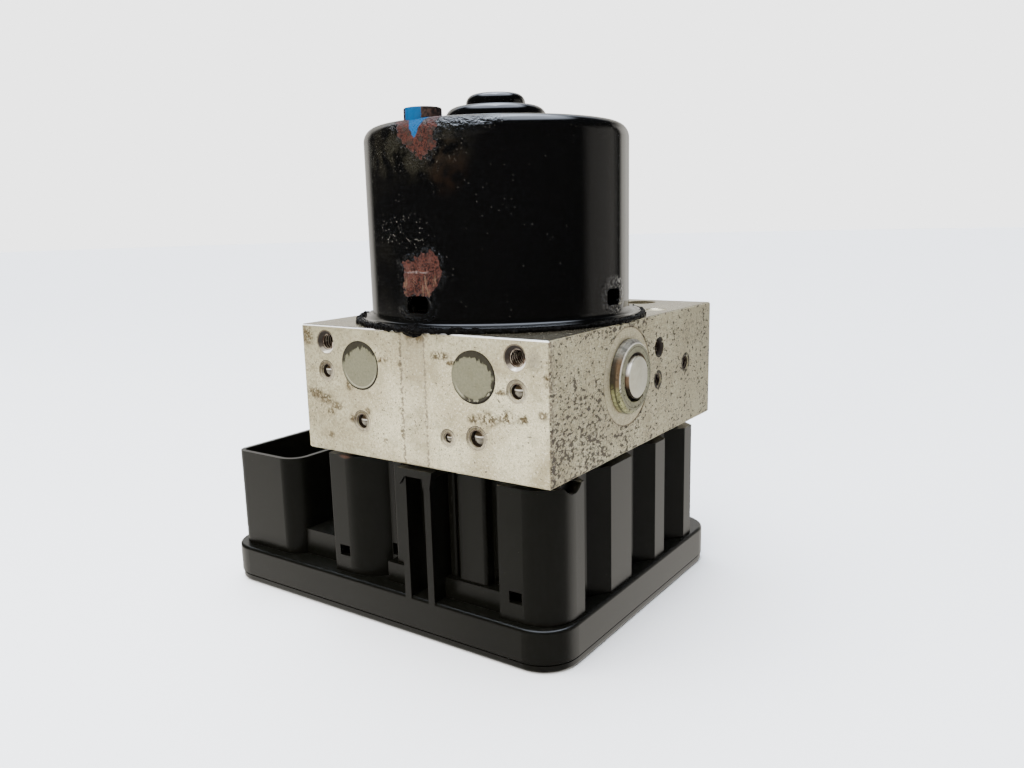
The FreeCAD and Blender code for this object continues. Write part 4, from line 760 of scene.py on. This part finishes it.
def squeezed_bead(material):
    """Sealant squeezed out round the can's rim: a ring with lumps, remeshed into one skin."""
    draws = random.Random(7)
    middle_radius = (rim_radius + bead_radius) / 2
    alone()
    bpy.ops.mesh.primitive_torus_add(
        major_segments=240, minor_segments=12, major_radius=middle_radius * MM,
        minor_radius=0.75 * MM, location=(0, 0, (BLOCK_TOP + 0.55) * MM))
    parts = [bpy.context.active_object]

    def lump(azimuth, radius, height, length, width, thick):
        angle = math.radians(azimuth)
        alone()
        bpy.ops.mesh.primitive_ico_sphere_add(
            subdivisions=3, radius=MM,
            location=(radius * MM * math.cos(angle), radius * MM * math.sin(angle), height * MM),
            rotation=(draws.uniform(-0.2, 0.2), draws.uniform(-0.2, 0.2),
                      angle + draws.uniform(-0.2, 0.2)),
            scale=(width, length, thick))
        parts.append(bpy.context.active_object)

    for azimuth in range(-180, 180, 5):
        left_front = -165 <= azimuth <= -82
        size = draws.uniform(0.7, 1.1) if left_front else draws.uniform(0.5, 0.85)
        lump(azimuth + draws.uniform(-2, 2), middle_radius + draws.uniform(-0.2, 0.4), BLOCK_TOP + 0.35,
             draws.uniform(1.6, 3.2), size, size * 0.8)
    for azimuth, radius, length, width, thick in BEAD_LUMPS:
        lump(azimuth, radius, BLOCK_TOP + 0.6, length, width, thick)
    for x, drop in HANGING_LUMPS:
        alone()
        bpy.ops.mesh.primitive_ico_sphere_add(
            subdivisions=3, radius=MM, scale=(1.4, 0.7, 1.0),
            location=(x * MM, (FRONT - 0.1) * MM, (BLOCK_TOP - 0.2 - drop) * MM))
        parts.append(bpy.context.active_object)
    alone()
    for part in parts:
        part.select_set(True)
    bpy.context.view_layer.objects.active = parts[0]
    bpy.ops.object.join()
    bead = settle(bpy.context.active_object, "squeezed_bead")
    apply_modifier(bead, "skin", "REMESH", {"mode": "VOXEL", "voxel_size": BEAD_VOXEL * MM})
    texture = bpy.data.textures.new("sealant_lumps", "CLOUDS")
    texture.noise_scale = 1.0 * MM
    apply_modifier(bead, "lumps", "DISPLACE",
                   {"texture": texture, "strength": BEAD_LUMP_HEIGHT * MM, "mid_level": 0.5})
    apply_modifier(bead, "soften", "SMOOTH", {"factor": 0.5, "iterations": 2})
    bpy.ops.object.shade_smooth()
    dress(bead, material)
    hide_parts("sealant_bead")


def turned(name, side, foot, profile):
    """Turned piece on the pump's axis: a cylinder whose outer end is extruded and scaled step by step.
    The profile's pairs are a radius and a height over the block's side face."""
    alone()
    radius, height = profile[0]
    bpy.ops.mesh.primitive_cylinder_add(
        vertices=128, radius=radius * MM, depth=(height - foot) * MM,
        location=(side * (RIGHT + (foot + height) / 2) * MM, 0, pump_z * MM),
        rotation=(0, side * math.pi / 2, 0))
    piece = settle(bpy.context.active_object, name)
    end = max(piece.data.polygons, key=lambda face: face.center.x * side).index
    bpy.ops.object.mode_set(mode="EDIT")
    bpy.ops.mesh.select_mode(type="FACE")
    bpy.ops.mesh.select_all(action="DESELECT")
    bpy.ops.object.mode_set(mode="OBJECT")
    piece.data.polygons[end].select = True
    bpy.ops.object.mode_set(mode="EDIT")
    for next_radius, next_height in profile[1:]:
        bpy.ops.mesh.extrude_region_move(
            TRANSFORM_OT_translate={"value": (side * (next_height - height) * MM, 0, 0)})
        share = next_radius / radius
        bpy.ops.transform.resize(value=(1, share, share),
                                 center_override=(side * (RIGHT + next_height) * MM, 0, pump_z * MM))
        radius, height = next_radius, next_height
    bpy.ops.object.mode_set(mode="OBJECT")
    outward(piece)
    bpy.ops.object.shade_smooth_by_angle(angle=math.radians(35))
    return piece


def pump_plugs(plug_material, disc_material):
    """Both plugs with their stepped flange, and the discs that stand a little proud of them."""
    disc_end = plug_high.x - RIGHT
    disc_profile = ((DISC_RADIUS, disc_end - 0.4), (DISC_RADIUS - 0.08, disc_end - 0.15),
                    (DISC_RADIUS - 0.3, disc_end))
    for side, word in ((1, "right"), (-1, "left")):
        plug = turned("plug_head_" + word, side, PLUG_FOOT, PLUG_PROFILE)
        dress(plug, plug_material)
        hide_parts("pump_plug_" + word)
        disc = turned("plug_disc_" + word, side, DISC_FOOT, disc_profile)
        dress(disc, disc_material)
        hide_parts("pump_end_disc_" + word)


def cut_thread(name, mouth, inward, radius, depth, material):
    """Helical ridge inside a tapped hole, one profile screwed along the hole's axis."""
    ridge = THREAD_PITCH * 0.36
    turns = int(depth / THREAD_PITCH)
    alone()
    bpy.ops.mesh.primitive_circle_add(vertices=3, radius=ridge * MM, location=(radius * MM, 0, 0),
                                      rotation=(math.pi / 2, 0, math.pi))
    thread = bpy.context.active_object
    settle(thread, name)
    apply_modifier(thread, "helix", "SCREW", {
        "angle": TURN, "screw_offset": THREAD_PITCH * MM, "iterations": turns,
        "steps": THREAD_STEPS, "render_steps": THREAD_STEPS, "use_merge_vertices": True})
    outward(thread)
    bpy.ops.object.shade_smooth_by_angle(angle=math.radians(40))
    thread.data.transform(Matrix.Translation(mouth * MM) @ Vector((0, 0, 1)).rotation_difference(inward)
                          .to_matrix().to_4x4())
    dress(thread, material)


def threads(material):
    """Threads of the tapped holes: those that the record's mounts name, and the right face's vents."""
    for mount in frame["record"]["mounts"]:
        if mount["kind"] != "threaded_hole":
            continue
        outward_axis = Vector(mount["axis"])
        radius = mount["dims"]["r_mm"]
        length = mount["dims"]["length_mm"]
        middle = Vector(mount["pos_m"]) / MM
        mouth = middle + outward_axis * (length / 2 - 0.8)
        cut_thread(mount["name"] + "_thread", mouth, -outward_axis, radius, length - 1.5, material)
    pattern = [mount for mount in frame["record"]["mounts"] if mount["kind"] == "bolt_pattern"][0]
    for side in (-1, 1):
        mouth = Vector((side * pattern["dims"]["spacing_x_mm"] / 2, FRONT + 0.9,
                        pattern["pos_m"][2] / MM))
        cut_thread("front_thread_" + ("left" if side < 0 else "right"), mouth, Vector((0, 1, 0)),
                   pattern["dims"]["hole_r_mm"], FRONT_THREAD_LENGTH, material)
    for index, (y, z, radius) in enumerate(VENTS):
        cut_thread("vent_thread_%d" % (index + 1), Vector((RIGHT - 0.8, y, z)), Vector((-1, 0, 0)),
                   radius, VENT_THREAD_LENGTH, material)


def camera():
    data = bpy.data.cameras.new("camera")
    data.lens = CAMERA_LENS
    data.sensor_width = SENSOR_WIDTH
    data.clip_start = 0.01
    data.clip_end = 100.0
    place = bpy.data.objects.new("camera", data)
    bpy.context.scene.collection.objects.link(place)
    turn = (Matrix.Rotation(CAMERA_AZIMUTH, 4, "Z")
            @ Matrix.Rotation(math.pi / 2 - CAMERA_ELEVATION, 4, "X")
            @ Matrix.Rotation(CAMERA_ROLL, 4, "Z"))
    place.matrix_world = Matrix.Translation(CAMERA_PLACE) @ turn
    bpy.context.scene.camera = place


def hang(name, light, place, target):
    """Puts a light in its place, aimed and kept out of reflections."""
    lamp = bpy.data.objects.new(name, light)
    bpy.context.scene.collection.objects.link(lamp)
    aim = (Vector(target) - Vector(place)).to_track_quat("-Z", "Y")
    lamp.matrix_world = Matrix.Translation(place) @ aim.to_matrix().to_4x4()
    lamp.visible_glossy = False


def softbox(name, place, target, width, height, power, colour):
    light = bpy.data.lights.new(name, "AREA")
    light.shape = "RECTANGLE"
    light.size = width
    light.size_y = height
    light.energy = power
    light.color = colour
    hang(name, light, place, target)


def studio():
    """Pale floor, soft lights and a room that is bright behind the object and dim in front of it."""
    alone()
    bpy.ops.mesh.primitive_circle_add(vertices=96, radius=6.0, fill_type="NGON", location=(0, 0, -0.0001))
    floor = bpy.context.active_object
    floor.name = "floor"
    ground = Finish("floor", 0.9)
    ground.colour(ground.blend(ground.noise(600.0), rgb(0.86, 0.86, 0.86), rgb(0.88, 0.88, 0.88)))
    floor.data.materials.append(ground.material)
    floor.visible_glossy = False

    world = bpy.data.worlds.new("room")
    world.use_nodes = True
    bpy.context.scene.world = world
    room = Nodes(world.node_tree)
    direction = room.node("ShaderNodeTexCoord", {}, {}).outputs["Generated"]
    split = room.node("ShaderNodeSeparateXYZ", {}, {0: direction})
    x, y, z = [Field(room, socket) for socket in split.outputs]
    bearing = y.math("ARCTAN2", y, x)
    left_end = room.rise(bearing, WALL_END, WALL_END - 0.25)
    near_wall = room.rise(bearing, WALL_START, WALL_START + 0.25)
    near_wall = near_wall * room.rise(bearing, POST_END, POST_START)
    far_wall = room.rise(bearing, POST_END - 0.05, POST_END + 0.12) * left_end
    far_wall = far_wall * (FAR_WALL_LIGHT - room.rise(bearing, 1.55, 1.85) * 0.5)
    wall = (near_wall * WALL_LIGHT + far_wall) * room.rise(z, 0.5, 0.2)
    height = z.math("ARCSINE", z) * GLOW_GROWTH
    glow = height.math("EXPONENT", height) * GLOW_LIGHT
    glow = glow * room.rise(bearing, GLOW_START, GLOW_START + 0.45) * left_end
    behind = y * math.cos(CAMERA_AZIMUTH) - x * math.sin(CAMERA_AZIMUTH)
    ceiling = room.rise(z + behind * 0.12, 0.81, 0.93) * CEILING_LIGHT
    away = abs(bearing - (CAMERA_AZIMUTH - math.pi / 2))
    table = room.rise(z, -0.08, -0.2) * (TABLE_NEAR_LIGHT + room.rise(away, 1.1, 1.6) * TABLE_LIGHT)
    cool = room.blend(room.rise(z, 0.4, 0.7), rgb(1.0, 0.96, 0.88), rgb(0.78, 0.86, 1.0))
    seen = room.number("ShaderNodeLightPath", {}, {}, "Is Camera Ray")
    strength = seen * BACKDROP + (1 - seen) * (ROOM_LIGHT + wall.larger(glow).larger(table) + ceiling)
    background = world.node_tree.nodes["Background"]
    white = room.blend(seen, cool, rgb(1.0, 1.0, 1.0))
    world.node_tree.links.new(white, background.inputs["Color"])
    world.node_tree.links.new(strength.socket, background.inputs["Strength"])

    sun = bpy.data.lights.new("daylight", "SUN")
    sun.energy = SUN_LIGHT
    sun.angle = 1.0
    hang("daylight", sun, (-0.2, -0.3, 1.0), (0, 0, 0))
    softbox("key", (0.12, -0.90, 0.40), (0, 0, 0.07), 0.5, 0.5, 13.0, (1.0, 0.975, 0.93))
    softbox("fill", (-0.70, -0.60, 0.45), (0, 0, 0.07), 0.5, 0.5, 4.0, (1.0, 0.985, 0.96))


def assign_finishes():
    """Gives every node of the frame the finish of its slot, and a few their own."""
    steel = bright_steel()
    balls = ball_steel()
    by_slot = {
        "can_paint": can_paint(),
        "rusty_steel": rusty_steel(),
        "sealant": sealant(),
        "magnet": inner_finish("magnet", (0.05, 0.05, 0.055), (0.09, 0.09, 0.095), 0.6, 0.2),
        "sheet_stack": inner_finish("sheet_stack", (0.30, 0.30, 0.31), (0.45, 0.45, 0.46), 0.35, 1.0),
        "copper": inner_finish("copper", (0.55, 0.24, 0.13), (0.75, 0.38, 0.22), 0.3, 1.0),
        "steel": steel,
        "carbon": inner_finish("carbon", (0.03, 0.03, 0.03), (0.06, 0.06, 0.06), 0.6, 0.0),
        "inner_plastic": inner_finish("inner_plastic", (0.04, 0.04, 0.045), (0.06, 0.06, 0.065), 0.45, 0.0),
        "block_aluminium": block_aluminium(),
        "cap_metal": cap_metal(),
        "plug_steel": plug_steel(),
        "spring_steel": inner_finish("spring_steel", (0.40, 0.40, 0.41), (0.55, 0.55, 0.56), 0.3, 1.0),
        "control_plastic": control_plastic(),
        "seal_rubber": inner_finish("seal_rubber", (0.008, 0.008, 0.008), (0.015, 0.015, 0.015), 0.6, 0.0),
        "board": inner_finish("board", (0.015, 0.09, 0.04), (0.025, 0.13, 0.06), 0.35, 0.0),
        "component": inner_finish("component", (0.02, 0.02, 0.022), (0.04, 0.04, 0.045), 0.5, 0.0),
        "contact": inner_finish("contact", (0.60, 0.58, 0.52), (0.75, 0.72, 0.66), 0.25, 1.0),
        "coil_steel": inner_finish("coil_steel", (0.22, 0.21, 0.17), (0.34, 0.33, 0.28), 0.4, 0.8),
    }
    for entry in frame["record"]["subparts"]:
        mesh = frame["nodes"][entry["node"]].data
        mesh.materials.clear()
        mesh.materials.append(balls if entry["node"] == "ball_plugs" else by_slot[entry["material_slot"]])
    return by_slot


finishes = assign_finishes()
squeezed_bead(finishes["sealant"])
pump_plugs(finishes["plug_steel"], disc_steel())
threads(thread_metal())
camera()
studio()
